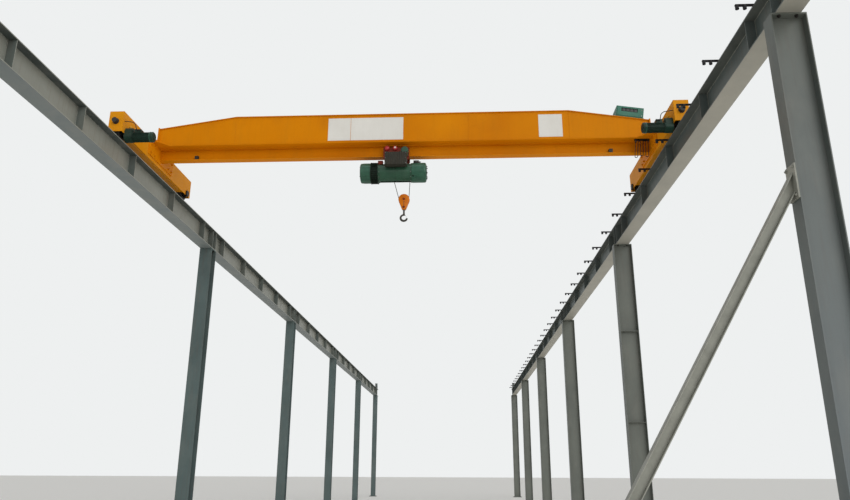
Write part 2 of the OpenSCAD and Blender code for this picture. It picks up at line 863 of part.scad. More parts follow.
module trolley_drive() {
    front = -trolley_y - trolley_t;
    gear_t = 30;
    color(hoist_green) translate([drive_x, bridge_y, girder_z - 150]) {
        translate([-52, front - gear_t, -74]) cube([104, gear_t, 114]);
        translate([0, front, 0]) rotate([90, 0, 0]) rotate_extrude($fn = 64)
            polygon([[0, 0], [trolley_motor_d / 2, 0], [trolley_motor_d / 2, trolley_motor_l - 14],
                     [trolley_motor_d / 2 - 14, trolley_motor_l], [0, trolley_motor_l]]);
    }
}

module drum_housing() {
    slot_w = 46;
    lug_t = 18;
    lug_y = 50;
    band_l = 16;
    band_d = drum_shell_d + 14;
    seam_w = 6;
    color(hoist_green) translate([0, bridge_y, drum_z]) {
        difference() {
            union() {
                bar_x(shell_x, drum_shell_l, drum_shell_d);
                bar_x(shell_x, band_l, band_d);
                bar_x(gear_x - band_l, band_l, band_d);
            }
            bar_x(shell_x - 1, drum_shell_l + 2, drum_shell_d - 2 * drum_shell_t);
            translate([shell_x + 40, -slot_w / 2, -drum_shell_d]) cube([drum_shell_l - 64, slot_w, drum_shell_d]);
            translate([shell_x + seam_x, 0, 0]) rotate([0, 90, 0]) rotate_extrude($fn = 64)
                translate([drum_shell_d / 2 - 3, 0]) square([20, seam_w]);
        }
        for (s = [-1, 1])
            translate([hoist_x + s * trolley_wheelbase / 2, 0, 0])
                for (t = [-1, 1])
                    difference() {
                        translate([-28, t * lug_y - lug_t / 2, drum_shell_d / 2 - 14])
                            cube([56, lug_t, shaft_z - drum_z - drum_shell_d / 2 + 14 + shaft_d / 2 + 8]);
                        translate([0, t * lug_y - lug_t, shaft_z - drum_z])
                            bar_y(0, 2 * lug_t, shaft_d + 2 * run_gap);
                    }
    }
}

module rope_drum() {
    pitch = rope_d + 2;
    turns = floor((drum_shell_l - 60) / pitch);
    groove_r = rope_d / 2 + 0.5;
    color("#55565a") translate([shell_x, bridge_y, drum_z]) rotate([0, 90, 0])
        difference() {
            cylinder(d = rope_drum_d, h = drum_shell_l, $fn = 64);
            translate([0, 0, rope_drum_t])
                cylinder(d = rope_drum_d - 2 * rope_drum_t, h = drum_shell_l - 2 * rope_drum_t, $fn = 64);
            translate([0, 0, -1]) cylinder(d = rope_drum_d / 3, h = drum_shell_l + 2, $fn = 64);
            rotate_extrude($fn = 64)
                for (i = [0 : turns - 1])
                    translate([rope_drum_d / 2, 30 + (i + 0.5) * pitch])
                        polygon([[1, -groove_r], [1, groove_r], [-2, groove_r - 3], [-2, 3 - groove_r]]);
        }
}

module hoist_motor() {
    edge = 26;
    r = hoist_end_d / 2;
    color(hoist_green) translate([hoist_x0, bridge_y, drum_z]) rotate([0, 90, 0]) rotate_extrude($fn = 64) {
        square([r - edge, hoist_motor_l]);
        translate([0, edge]) square([r, hoist_motor_l - edge]);
        translate([r - edge, edge]) circle(r = edge, $fn = 48);
    }
}

module brake_ring() {
    core_d = brake_ring_d - 34;
    rim_l = 12;
    color("#1d2f28") translate([brake_x, bridge_y, drum_z]) {
        bar_x(0, brake_ring_l, core_d);
        bar_x(0, rim_l, brake_ring_d);
        bar_x(brake_ring_l - rim_l, rim_l, brake_ring_d);
        for (i = [0 : ring_ribs - 1])
            rotate([i * 360 / ring_ribs, 0, 0])
                translate([rim_l, -2.5, core_d / 2 - 4]) cube([brake_ring_l - 2 * rim_l, 5, 18]);
    }
}

module hoist_gearbox() {
    edge = 34;
    r = hoist_end_d / 2;
    cover_r = r - 46;
    plug_angle = 40;
    color(hoist_green) translate([gear_x, bridge_y, drum_z])
        difference() {
            rotate([0, 90, 0]) rotate_extrude($fn = 64) {
                square([r - edge, hoist_gear_l]);
                square([r, hoist_gear_l - edge]);
                translate([r - edge, hoist_gear_l - edge]) circle(r = edge, $fn = 48);
                square([cover_r, hoist_gear_l + 6]);
            }
            rotate([plug_angle, 0, 0]) translate([20, -r - 5, 0]) bar_y(0, 35, 26);
        }
}

module control_box() {
    box_x = trolley_x0 + 40;
    box_y = bridge_y - trolley_y - trolley_t - 90 - control_w;
    box_z = girder_z - 222 - control_h;
    rib_pitch = control_l / (control_ribs + 1);
    lid_t = 10;
    color("#5f6c62") {
        translate([box_x, box_y + lid_t, box_z]) cube([control_l, control_w - lid_t, control_h]);
        translate([box_x + 4, box_y, box_z + 4]) cube([control_l - 8, lid_t, control_h - 8]);
        for (i = [1 : control_ribs])
            translate([box_x + i * rib_pitch, box_y, box_z + 16])
                cylinder(d = 12, h = control_h - 32, $fn = 24);
        for (x = [40, control_l - 100])
            translate([box_x + x, box_y + control_w, box_z + control_h - 60]) cube([30, 90, 40]);
    }
}

module rope_falls() {
    top_z = drum_z - rope_drum_d / 2;
    height = top_z - sheave_z;
    leans = [[-1, -95], [1, 18]];
    reach = sheave_d / 2;
    color("#3c3c3c") translate([block_x, bridge_y, sheave_z])
        intersection() {
            for (f = leans)
                translate([f[0] * reach / cos(atan(f[1] / height)), 0, 0]) rotate([0, atan(f[1] / height), 0])
                    translate([0, 0, -20]) cylinder(d = rope_d, h = norm([f[1], height]) + 40, $fn = 16);
            translate([-300, -30, 0]) cube([600, 60, height - run_gap]);
        }
}

// Egg-shaped outline of a cheek: round over the sheave, narrower at the hook
module cheek_outline(inset = 0) {
    big = cheek_r - inset;
    small = foot_r - inset;
    drop = block_h;
    lean = asin((big - small) / drop);
    top = big + 0.6;
    low = small + 0.6;
    circle(r = big, $fn = 96);
    translate([0, -drop]) circle(r = small, $fn = 64);
    polygon([[top * cos(lean), -top * sin(lean)], [low * cos(lean), -drop - low * sin(lean)],
             [-low * cos(lean), -drop - low * sin(lean)], [-top * cos(lean), -top * sin(lean)]]);
}

// Two cheeks and the guard that joins them, open at the top for the ropes
module block_cheeks() {
    depth = cheek_gap + 2 * cheek_t;
    slit_w = 7;
    color("#d9821c") translate([block_x, bridge_y, sheave_z]) {
        for (y = [-cheek_gap / 2, cheek_gap / 2 + cheek_t])
            difference() {
                translate([0, y, 0]) rotate([90, 0, 0]) linear_extrude(cheek_t) cheek_outline();
                for (z = [0, -block_h]) translate([0, -depth, z]) bar_y(0, 2 * depth, pin_d + 2 * run_gap);
                translate([-slit_w / 2, -depth, -block_h + 24]) cube([slit_w, 2 * depth, block_h - 48]);
            }
        difference() {
            translate([0, cheek_gap / 2, 0]) rotate([90, 0, 0]) linear_extrude(cheek_gap)
                difference() {
                    cheek_outline();
                    cheek_outline(inset = guard_t);
                }
            translate([-2 * cheek_r, -cheek_gap, 0]) cube([4 * cheek_r, 2 * cheek_gap, 2 * cheek_r]);
            translate([0, 0, -block_h - 2 * foot_r]) cylinder(d = hook_shank_d + 8, h = 2 * foot_r, $fn = 48);
        }
    }
}

module sheave() {
    rim = sheave_d / 2 + 8;
    half = 15;
    groove = sheave_d / 2 - rope_d / 2 - run_gap;
    color("#55565a") translate([block_x, bridge_y, sheave_z]) rotate([-90, 0, 0]) rotate_extrude($fn = 64)
        polygon([[0, -pin_half], [pin_d / 2, -pin_half], [pin_d / 2, -half - 6], [30, -half - 6], [30, -6],
                 [rim - 20, -6], [rim - 12, -half], [rim, -half], [groove, -3],
                 [groove, 3], [rim, half], [rim - 12, half], [rim - 20, 6], [30, 6],
                 [30, half + 6], [pin_d / 2, half + 6], [pin_d / 2, pin_half], [0, pin_half]]);
}

module crosshead() {
    color("#55565a") translate([block_x, bridge_y, crosshead_z])
        difference() {
            union() {
                translate([-crosshead_b / 2, -cheek_gap / 2 + 1, -crosshead_h / 2])
                    cube([crosshead_b, cheek_gap - 2, crosshead_h]);
                bar_y(-pin_half, 2 * pin_half, pin_d);
            }
            translate([0, 0, -crosshead_h]) cylinder(d = hook_shank_d + 2 * run_gap, h = 2 * crosshead_h, $fn = 48);
        }
}

// Face of the bowl: thickest underneath, thinner at the tip
module bowl_outline() {
    s = hook_section_d;
    tip_r = s * 0.42;
    difference() {
        translate([-2, -4]) circle(r = hook_r + s - 6, $fn = 96);
        circle(r = hook_r, $fn = 96);
        polygon([[0, 0], [3 * hook_r, 0], [3 * hook_r, 3 * hook_r * tan(hook_mouth)]]);
    }
    translate([hook_r + tip_r - 1, 0]) circle(r = tip_r, $fn = 48);
}

// Forged hook: nut, shank, and a bowl that opens to one side
module hook() {
    s = hook_section_d;
    nut_h = 26;
    nut_r = 23;
    seat = crosshead_h / 2 + run_gap;
    shank_r = hook_shank_d / 2;
    eye_z = hook_z - crosshead_z;
    crown = eye_z + hook_r + s / 2;
    color("#c9781f") translate([block_x, bridge_y, crosshead_z]) {
        rotate_extrude($fn = 48)
            polygon([[0, seat + nut_h], [nut_r, seat + nut_h], [nut_r, seat], [shank_r, seat],
                     [shank_r, crown + 40], [shank_r + 3, crown + 20], [s / 2, crown], [s / 2 - 4, crown - 8],
                     [0, crown - 8]]);
        translate([0, 0, eye_z]) intersection() {
            translate([0, s, 0]) rotate([90, 0, 0]) linear_extrude(2 * s) bowl_outline();
            rotate([90, 0, 0]) rotate_extrude($fn = 96)
                polygon([[hook_r - 4, -s * 0.36], [hook_r + 4, -s * 0.48], [hook_r + 12, -s * 0.5],
                         [hook_r + s - 6, -s * 0.3], [hook_r + s, -s * 0.16], [hook_r + s, s * 0.16],
                         [hook_r + s - 6, s * 0.3], [hook_r + 12, s * 0.5], [hook_r + 4, s * 0.48],
                         [hook_r - 4, s * 0.36]]);
        }
    }
}

// Flap across the mouth of the hook
module hook_latch() {
    latch_w = 12;
    latch_t = 3;
    root_r = hook_r + 12;
    tip_x = hook_r + 6;
    root = [root_r * cos(hook_mouth) + 0.35, root_r * sin(hook_mouth)];
    tip = [tip_x - 5, hook_section_d * 0.42 + 2];
    run = [tip[0] - root[0], tip[1] - root[1]];
    color("#b9babc") translate([block_x, bridge_y, hook_z])
        translate([root[0], -latch_w / 2, root[1]])
            rotate([0, atan2(-run[1], run[0]), 0]) cube([norm(run), latch_w, latch_t]);
}

columns_left();
columns_right();
base_plates_left();
base_plates_right();
runway_beams_left();
runway_beams_right();
rail_left();
rail_right();
end_stops();
conductor_brackets();
raking_strut();
girder_box();
hoist_track();
girder_end_left();
girder_end_right();
end_truck_left();
end_truck_right();
bearing_housings();
buffers();
trolley_stops();
travel_gearbox_left();
travel_gearbox_right();
travel_motor_left();
travel_motor_right();
electrical_cabinet();
cabinet_feet();
festoon_cable();
festoon_hanger();
wheel_left_near();
wheel_left_far();
wheel_right_near();
wheel_right_far();
trolley_plates();
trolley_wheels();
suspension_shafts();
trolley_drive();
drum_housing();
rope_drum();
hoist_motor();
brake_ring();
hoist_gearbox();
control_box();
rope_falls();
block_cheeks();
sheave();
crosshead();
hook();
hook_latch();
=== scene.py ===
"""Overhead bridge crane: finishes, fixings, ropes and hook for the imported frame, laid out as an add-on."""

import json
from math import atan2, cos, hypot, pi, radians, sin, sqrt

import bmesh
import bpy
from mathutils import Matrix, Vector
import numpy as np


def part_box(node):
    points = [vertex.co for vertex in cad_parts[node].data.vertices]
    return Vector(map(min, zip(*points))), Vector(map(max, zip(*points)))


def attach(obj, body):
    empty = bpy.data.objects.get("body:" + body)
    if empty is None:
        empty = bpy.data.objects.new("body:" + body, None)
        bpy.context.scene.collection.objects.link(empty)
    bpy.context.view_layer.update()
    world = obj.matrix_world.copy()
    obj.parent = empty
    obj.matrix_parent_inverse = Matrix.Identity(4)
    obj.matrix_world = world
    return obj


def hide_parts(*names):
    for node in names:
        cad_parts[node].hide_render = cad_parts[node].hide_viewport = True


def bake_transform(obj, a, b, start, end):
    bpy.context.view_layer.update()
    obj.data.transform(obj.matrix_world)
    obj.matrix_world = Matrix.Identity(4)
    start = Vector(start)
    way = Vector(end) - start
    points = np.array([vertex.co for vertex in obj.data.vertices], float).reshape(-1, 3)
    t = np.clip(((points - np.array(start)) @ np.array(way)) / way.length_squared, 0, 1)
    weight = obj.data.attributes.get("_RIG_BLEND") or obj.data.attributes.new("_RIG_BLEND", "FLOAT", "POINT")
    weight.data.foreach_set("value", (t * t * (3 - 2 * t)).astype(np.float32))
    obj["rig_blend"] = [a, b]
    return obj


bl_info = {
    "name": "Overhead bridge crane dressing",
    "version": (1, 0, 0),
    "blender": (4, 5, 0),
    "location": "View3D > Sidebar > Crane",
    "description": "Adds paint, fixings, ropes, cables and a forged hook to the crane's frame",
    "category": "Object",
}

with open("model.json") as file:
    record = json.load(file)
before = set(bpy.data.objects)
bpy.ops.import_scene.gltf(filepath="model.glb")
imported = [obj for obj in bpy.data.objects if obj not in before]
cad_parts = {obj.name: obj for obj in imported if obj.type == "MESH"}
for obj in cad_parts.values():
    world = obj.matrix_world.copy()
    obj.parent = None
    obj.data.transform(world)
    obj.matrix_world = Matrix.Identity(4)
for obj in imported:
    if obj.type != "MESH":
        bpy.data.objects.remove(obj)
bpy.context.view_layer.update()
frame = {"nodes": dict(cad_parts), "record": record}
BOX = {name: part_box(name) for name in frame["nodes"]}


# Places on the frame

X, Y, Z = range(3)


def middle(name, axis):
    """The middle of a node's box along an axis."""
    return (BOX[name][0][axis] + BOX[name][1][axis]) / 2


# The runway: its origin is on the floor under the first left column, and it runs along Y.
SPAN = BOX["rail_right"][0].x - BOX["rail_left"][0].x
RAILS = (0, SPAN)
BAYS = 5
BAY = (BOX["base_plates_left"][1].y + BOX["base_plates_left"][0].y) / BAYS
ROWS = [BAY * i for i in range(BAYS + 1)]
PLATE_TOP = BOX["base_plates_left"][1].z
BEAM_FOOT = BOX["runway_beams_left"][0].z
BEAM_TOP = BOX["runway_beams_left"][1].z
BEAM_FLANGE = 0.014

# The girder: a box whose webs slope down to both ends, with the track under it.
GIRDER = BOX["girder_box"]
BRIDGE_Y = middle("girder_box", Y)
GIRDER_FOOT = GIRDER[0].z
TRACK_FOOT = BOX["hoist_track"][0].z
WEB_OUT = 0.180
WEB_TOP = GIRDER_FOOT + 0.507
SLOPE_RUN, SLOPE_RISE = 1.300, 0.200
TOP_PLATE = 0.013
SLOPE = Matrix.Translation((GIRDER[1].x, BRIDGE_Y, WEB_TOP - SLOPE_RISE + TOP_PLATE)) @ Matrix.Rotation(
    atan2(SLOPE_RISE, SLOPE_RUN), 4, "Y")

# The wheels and the travel drives, given for the left end.
AXLE_Z = middle("wheel_left_near", Z)
HOUSING_OUT = -BOX["bearing_housings"][0].x
MOTOR_X0, MOTOR_X1 = BOX["travel_motor_left"][0].x, BOX["travel_motor_left"][1].x
MOTOR_Y = middle("travel_motor_left", Y)
MOTOR_Z = BOX["travel_motor_left"][0].z + 0.080

# The hoist and the hook block.
DRUM_X0, DRUM_X1 = BOX["rope_drum"][0].x, BOX["rope_drum"][1].x
DRUM_Z = middle("rope_drum", Z)
SHEAVE = (BOX["sheave"][0] + BOX["sheave"][1]) / 2
SWIVEL_Z = middle("crosshead", Z)
HOOK_X, HOOK_EYE_Z = SHEAVE.x, SWIVEL_Z - 0.174

# The red caps on the trolley's plates: how far along they sit, and how high.
CAPS_ALONG = (0.060, 0.195)
CAP_Z = TRACK_FOOT + 0.130


# Colours and nodes

def linear(code):
    """An sRGB hex colour as the linear values that are mixed. A colour that a user picked is linear."""
    if not isinstance(code, str):
        return tuple(code)
    parts = [int(code[i:i + 2], 16) / 255 for i in (1, 3, 5)]
    return tuple(c / 12.92 if c <= 0.04045 else ((c + 0.055) / 1.055) ** 2.4 for c in parts) + (1.0,)


def wire(tree, made, wires):
    """Sets a node's inputs, in order or by name, to values, to outputs or to other nodes' first output."""
    for key, value in wires.items() if isinstance(wires, dict) else enumerate(wires):
        if isinstance(value, bpy.types.Node):
            value = next(socket for socket in value.outputs if socket.enabled)
        if isinstance(value, bpy.types.NodeSocket):
            tree.links.new(value, made.inputs[key])
        else:
            made.inputs[key].default_value = value


def add(tree, kind, wires=(), **settings):
    """Adds a node with its settings and its inputs."""
    made = tree.nodes.new(kind)
    for key, value in settings.items():
        setattr(made, key, value)
    wire(tree, made, wires)
    return made


def new_finish(name):
    """An empty finish, its node tree and surface shader, the place on the object and the face's direction."""
    made = bpy.data.materials.new(name)
    made.use_nodes = True
    tree = made.node_tree
    tree.nodes.clear()
    skin = add(tree, "ShaderNodeBsdfPrincipled")
    add(tree, "ShaderNodeOutputMaterial", {"Surface": skin})
    place = add(tree, "ShaderNodeTexCoord").outputs["Object"]
    normal = add(tree, "ShaderNodeNewGeometry").outputs["Normal"]
    return made, tree, skin, place, normal


def patches(tree, place, size, stretch=(1, 1, 1), detail=4.0, seed=(0, 0, 0)):
    """Uneven values from 0 to 1 in patches about size metres across, stretched along an axis."""
    spot = add(tree, "ShaderNodeMapping", {"Vector": place, "Location": seed,
                                           "Scale": [1 / (size * s) for s in stretch]})
    return add(tree, "ShaderNodeTexNoise", {"Vector": spot, "Scale": 1.0, "Detail": detail, "Roughness": 0.6})


def laid_over(tree, colour, layers):
    """Lays coats over a colour, each as (factors that give its share when multiplied, its colour)."""
    for (share, *factors), top in layers:
        for factor in factors:
            share = add(tree, "ShaderNodeMath", (share, factor), operation="MULTIPLY")
        colour = add(tree, "ShaderNodeMix", {0: share, 6: colour, 7: linear(top)}, data_type="RGBA")
    return colour


# Kinds of finish, with patterns in real sizes

MM = 0.001


def painted_steel(name, paint, shade, dust="#8f8a80", rust="#5a3420", rough=0.45, dusty=0.3, streaky=0.1,
                  rusty=0.3, patch=900, gloss=0.2, sides=(), painted_near_light=None):
    """Enamel brushed or sprayed on rolled steel: coats that differ in patches, dust on what faces up, runs
    down the webs, rust specks and paint worn off the edges. Patch is the size of the patches in millimetres.
    Sides gives painted light and shade: other tones for faces that look along an axis, as (axis, sign,
    colour, share, lowest height), where sign 0 means both ways. The last argument gives a paler painted light
    that fades along the runway and upwards, as (colour, distance, height)."""
    made, tree, skin, place, normal = new_finish(name)
    look = add(tree, "ShaderNodeSeparateXYZ", (normal,)).outputs
    spot = add(tree, "ShaderNodeSeparateXYZ", (place,)).outputs
    layers = [((add(tree, "ShaderNodeMapRange", (patches(tree, place, patch * MM), 0.3, 0.7)),), shade)]
    # Painted light: a paler tone on what stands near the first row of the runway, strongest low down.
    if painted_near_light:
        coat, along, height = painted_near_light
        near = add(tree, "ShaderNodeMapRange", (spot["Y"], along, along - 1.0))
        low = add(tree, "ShaderNodeMapRange", (spot["Z"], height, 0.25 * height, 0.05, 0.85))
        layers.append(((near, low), coat))
    # Painted light and shade: a tone for the faces that look along an axis, above a given height.
    for axis, sign, coat, share, lowest in sides:
        turned = add(tree, "ShaderNodeMath", (look[axis], sign), operation="MULTIPLY") if sign else add(
            tree, "ShaderNodeMath", (look[axis],), operation="ABSOLUTE")
        square = add(tree, "ShaderNodeMapRange", (turned, 0.5, 0.9))
        uneven = add(tree, "ShaderNodeMapRange", (patches(tree, place, 400 * MM, seed=(1, 9, 4)), 0.2, 0.7,
                                                  0.75 * share, share))
        above = add(tree, "ShaderNodeMapRange", (spot["Z"], lowest - 0.01, lowest + 0.01))
        layers.append(((square, uneven, above), coat))

    # Runs are about 35 mm wide and half a metre long, and only show on upright faces.
    upright = add(tree, "ShaderNodeMapRange",
                  (add(tree, "ShaderNodeMath", (look["Z"],), operation="ABSOLUTE"), 0.5, 0.2))
    runs = add(tree, "ShaderNodeMapRange",
               (patches(tree, place, 35 * MM, (1, 1, 14), 3.0, (3, 1, 0)), 0.5, 0.78))
    grime = add(tree, "ShaderNodeMapRange",
                (patches(tree, place, 250 * MM, (1, 1, 2.5), 6.0, (0, 7, 2)), 0.48, 0.8))
    settled = add(tree, "ShaderNodeMath", (
        add(tree, "ShaderNodeMapRange", (look["Z"], 0.4, 0.9)),
        add(tree, "ShaderNodeMapRange", (patches(tree, place, 120 * MM), 0.2, 0.7, 0.55, 1.0))),
        operation="MULTIPLY")

    # Real rust specks are 2 to 5 mm across. They are drawn up to 18 mm, so that they show at all.
    specks = add(tree, "ShaderNodeMath", (
        add(tree, "ShaderNodeMapRange", (patches(tree, place, 18 * MM, detail=5.0), 0.62, 0.7)),
        add(tree, "ShaderNodeMapRange", (patches(tree, place, 600 * MM, seed=(5, 5, 5)), 0.45, 0.65))),
        operation="MULTIPLY")
    rounded = add(tree, "ShaderNodeBevel", {"Radius": 4 * MM}, samples=4)
    sharp = add(tree, "ShaderNodeVectorMath", (rounded, normal), operation="DOT_PRODUCT").outputs["Value"]
    worn = add(tree, "ShaderNodeMath", (
        add(tree, "ShaderNodeMapRange", (sharp, 0.97, 0.8)),
        add(tree, "ShaderNodeMapRange", (patches(tree, place, 50 * MM, seed=(2, 0, 4)), 0.42, 0.6))),
        operation="MULTIPLY")
    rusted = add(tree, "ShaderNodeMath", (specks, worn), operation="MAXIMUM")
    layers += [((runs, upright, streaky), rust), ((grime, 0.35 * dusty + 0.1), dust),
               ((settled, dusty), dust), ((rusted, rusty), rust)]

    # Brush marks are about 1 mm apart and too fine to show, so the coat's waves are drawn 30 mm across.
    waves = add(tree, "ShaderNodeBump", {"Height": patches(tree, place, 30 * MM, detail=3.0),
                                         "Distance": 0.6 * MM, "Strength": 0.35, "Normal": rounded})
    dull = add(tree, "ShaderNodeMapRange", (settled, 0.0, 1.0, rough, min(0.95, rough + 0.35)))
    wire(tree, skin, {"Base Color": laid_over(tree, linear(paint), layers), "Roughness": dull,
                      "Normal": waves, "Specular IOR Level": gloss})
    return made


def bare_steel(name, metal, stain, rough=0.35, stained=0.5, grain=(1, 1, 1), grain_size=2):
    """Rolled, turned or drawn steel with no paint: grain along its working direction, and rust stains that
    take its shine. Real grain is about 0.1 mm wide, and is drawn 2 to 6 mm wide so that it shows."""
    made, tree, skin, place, _ = new_finish(name)
    blots = add(tree, "ShaderNodeMapRange", (patches(tree, place, 50 * MM, detail=6.0), 0.42, 0.68))
    stains = add(tree, "ShaderNodeMath", (blots, stained), operation="MULTIPLY")
    lines = patches(tree, place, grain_size * MM, grain, 2.0)
    uneven = add(tree, "ShaderNodeMath", (
        stains, add(tree, "ShaderNodeMath", (lines, 0.25), operation="MULTIPLY")), operation="ADD")
    wire(tree, skin, {
        "Base Color": laid_over(tree, linear(metal), [((stains,), stain)]),
        "Metallic": add(tree, "ShaderNodeMapRange", (stains, 0.0, 0.6, 1.0, 0.15)),
        "Roughness": add(tree, "ShaderNodeMapRange", (uneven, 0.0, 1.0, rough, 0.85)),
        "Normal": add(tree, "ShaderNodeBump", {"Height": lines, "Distance": 0.3 * MM, "Strength": 0.3})})
    return made


def moulded(name, base, worn, rough=0.6, dusty=0.4):
    """Rubber, cable sheath and moulded plastic: a dull even skin, scuffed and dusty on top. The mould's grit
    is about 0.1 mm, and is drawn at 1.5 mm."""
    made, tree, skin, place, normal = new_finish(name)
    look = add(tree, "ShaderNodeSeparateXYZ", (normal,)).outputs["Z"]
    scuffs = add(tree, "ShaderNodeMapRange", (patches(tree, place, 60 * MM), 0.35, 0.7))
    on_top = add(tree, "ShaderNodeMapRange", (look, 0.2, 0.9))
    grit = patches(tree, place, 1.5 * MM, detail=2.0)
    wire(tree, skin, {
        "Base Color": laid_over(tree, linear(base), [((scuffs,), worn), ((on_top, dusty), "#77726a")]),
        "Roughness": rough,
        "Normal": add(tree, "ShaderNodeBump", {"Height": grit, "Distance": 0.2 * MM, "Strength": 0.4})})
    return made


def rope_wire(name, wire_pitch=4):
    """Greased wire rope: bright wires show through dark grease in slanting lays. The wires are 0.5 mm thick,
    and are drawn every 4 mm."""
    made, tree, skin, place, _ = new_finish(name)
    lay = add(tree, "ShaderNodeTexWave", {"Vector": place, "Scale": 1 / (20 * wire_pitch * MM),
                                          "Distortion": 1.5},
              wave_type="BANDS", bands_direction="DIAGONAL").outputs["Fac"]
    greased = add(tree, "ShaderNodeMapRange", (patches(tree, place, 30 * MM, detail=5.0), 0.3, 0.6))
    wire(tree, skin, {
        "Base Color": laid_over(tree, linear("#1c1712"), [((lay, greased), "#6d6a64")]),
        "Metallic": add(tree, "ShaderNodeMath", (lay, 0.7), operation="MULTIPLY"),
        "Roughness": 0.5,
        "Normal": add(tree, "ShaderNodeBump", {"Height": lay, "Distance": 0.8 * MM, "Strength": 0.6})})
    return made


# Finishes of the crane's own pieces

FINISHES = {}


def runway_finishes(beams):
    """The runway's enamels and steels. The two sides look different, so each has its own enamels."""
    under_top = BEAM_TOP - 0.1
    return {
        # Alkyd enamel brushed on welded beams, warm grey, with painted light and shade by facing: dark
        # blue-grey painted shade on the faces that look along the runway, such as the stiffeners, a blue-grey
        # painted tone on every down-facing face for the light from below, and darker painted shade under the
        # top flange.
        "grey_paint": painted_steel(
            "grey_alkyd_enamel_on_left_beams", beams, "#83857c", dust="#9a958a", dusty=0.4, streaky=0.2,
            sides=(("Y", 0, "#4a5350", 0.9, 0), ("Z", -1, "#6b7374", 0.95, 0),
                   ("Z", -1, "#3d4441", 0.95, under_top))),
        # The same enamel on the right, greener, with dark webs: a pale painted light on the down-facing faces
        # for the light from below, and painted shade under the top flange.
        "right_beams": painted_steel(
            "green_grey_alkyd_enamel_on_right_beams", "#5d6664", "#525b59", dust="#8a857b", streaky=0.2,
            sides=(("Z", -1, "#a29f94", 0.95, 0), ("Z", -1, "#444c4a", 0.95, under_top))),
        # Alkyd enamel on rolled columns, plain grey, with painted shade on the faces that look along -X, and
        # a paler painted light near the first row, strongest at the foot.
        "column_paint": painted_steel(
            "grey_alkyd_enamel_on_right_columns", "#696d66", "#5f635d", dust="#928e84", rusty=0.25,
            sides=(("X", -1, "#525a57", 0.6, 0),), painted_near_light=("#6f777a", 3.5, BEAM_FOOT)),
        # Alkyd enamel, bluer and darker: the left row looks cooler than the right one.
        "left_columns": painted_steel(
            "blue_grey_alkyd_enamel_on_left_columns", "#546261", "#4a5756", dust="#86867e", streaky=0.2,
            rusty=0.25),
        # Bare primer rolled on: the palest and dullest steel of the runway, evenly mottled.
        "strut_paint": painted_steel(
            "dull_grey_primer_on_strut", "#9a9b91", "#898a81", dust="#a9a79d", dusty=0.2, streaky=0.04,
            patch=120, gloss=0.15),
        # Rolled rail with its mill scale: brown-grey with rust, and grain along the rail.
        "rail_steel": bare_steel("rolled_rail_steel", "#5b5753", "#4a2d1e", 0.45, 0.9, (1, 12, 1), 6),
        # Bitumen paint dipped on small brackets: black with a slight shine.
        "bracket_black": painted_steel(
            "black_bitumen_paint_on_brackets", "#202023", "#29292b", dust="#55524c", rough=0.55, rusty=0.2),
    }


def bridge_finishes(girder, cabinet):
    """The bridge's enamels, covers, rubber and cable."""
    return {
        # Enamel sprayed on plate: an even warm orange-yellow with broad faint patches and rusty edges.
        "girder_paint": painted_steel(
            "orange_yellow_enamel_on_girder", girder, "#c57200", dust="#8a6420", rust="#6a3f12", rough=0.5,
            dusty=0.1, streaky=0.06, rusty=0.35, patch=1800, gloss=0.06),
        # The same kind of enamel, sprayed a little yellower: the trucks stand out from the girder.
        "truck_paint": painted_steel(
            "orange_yellow_enamel_on_end_trucks", "#d88e14", "#ca8209", dust="#9a7a42", rust="#6a3f12",
            rough=0.5, dusty=0.1, streaky=0.05, rusty=0.25, patch=700, gloss=0.08),
        # Enamel dipped on cast housings: deep green, nearly black in the shade.
        "drive_paint": painted_steel(
            "dark_green_enamel_on_castings", "#203b2f", "#1a2e25", dust="#4f564b", rough=0.42, dusty=0.25,
            streaky=0.08, rusty=0.15, patch=200),
        # Powder coat baked on sheet: an even teal, greyer than the hoist.
        "cabinet_paint": painted_steel(
            "teal_powder_coat_on_cabinet", cabinet, "#40705f", dust="#7d8a7c", rough=0.5, dusty=0.2,
            rusty=0.1, patch=300, gloss=0.15),
        # Stove enamel on flat panels: bright, clean and bare.
        "white_board": painted_steel(
            "white_enamel_panel", "#dcdad3", "#d3d0c8", dust="#b3ad9f", dusty=0.15, streaky=0.03, rusty=0.05),
        # Enamel on a small breather cap: a sandy yellow dot on the green gearbox.
        "sandy_board": painted_steel("sand_enamel_on_cap", "#d2a22a", "#b98b20", rusty=0.2, patch=100),
        # Moulded near-black skin: painted shade, put in the cabinet's recess and on the hook block's covers
        # where their slots are.
        "painted_shade_panel": moulded("near_black_painted_shade", "#1a1d1b", "#232624", 0.45, 0.2),
        # Moulded rubber: dull black, with dust on top.
        "buffer_rubber": moulded("black_moulded_rubber", "#1b1b1c", "#2a2928", 0.7, 0.35),
        # Rubber vulcanised round the cable: black and a little smoother.
        "cable_sheath": moulded("black_vulcanised_cable_sheath", "#131315", "#1d1d1f", 0.6, 0.15),
    }


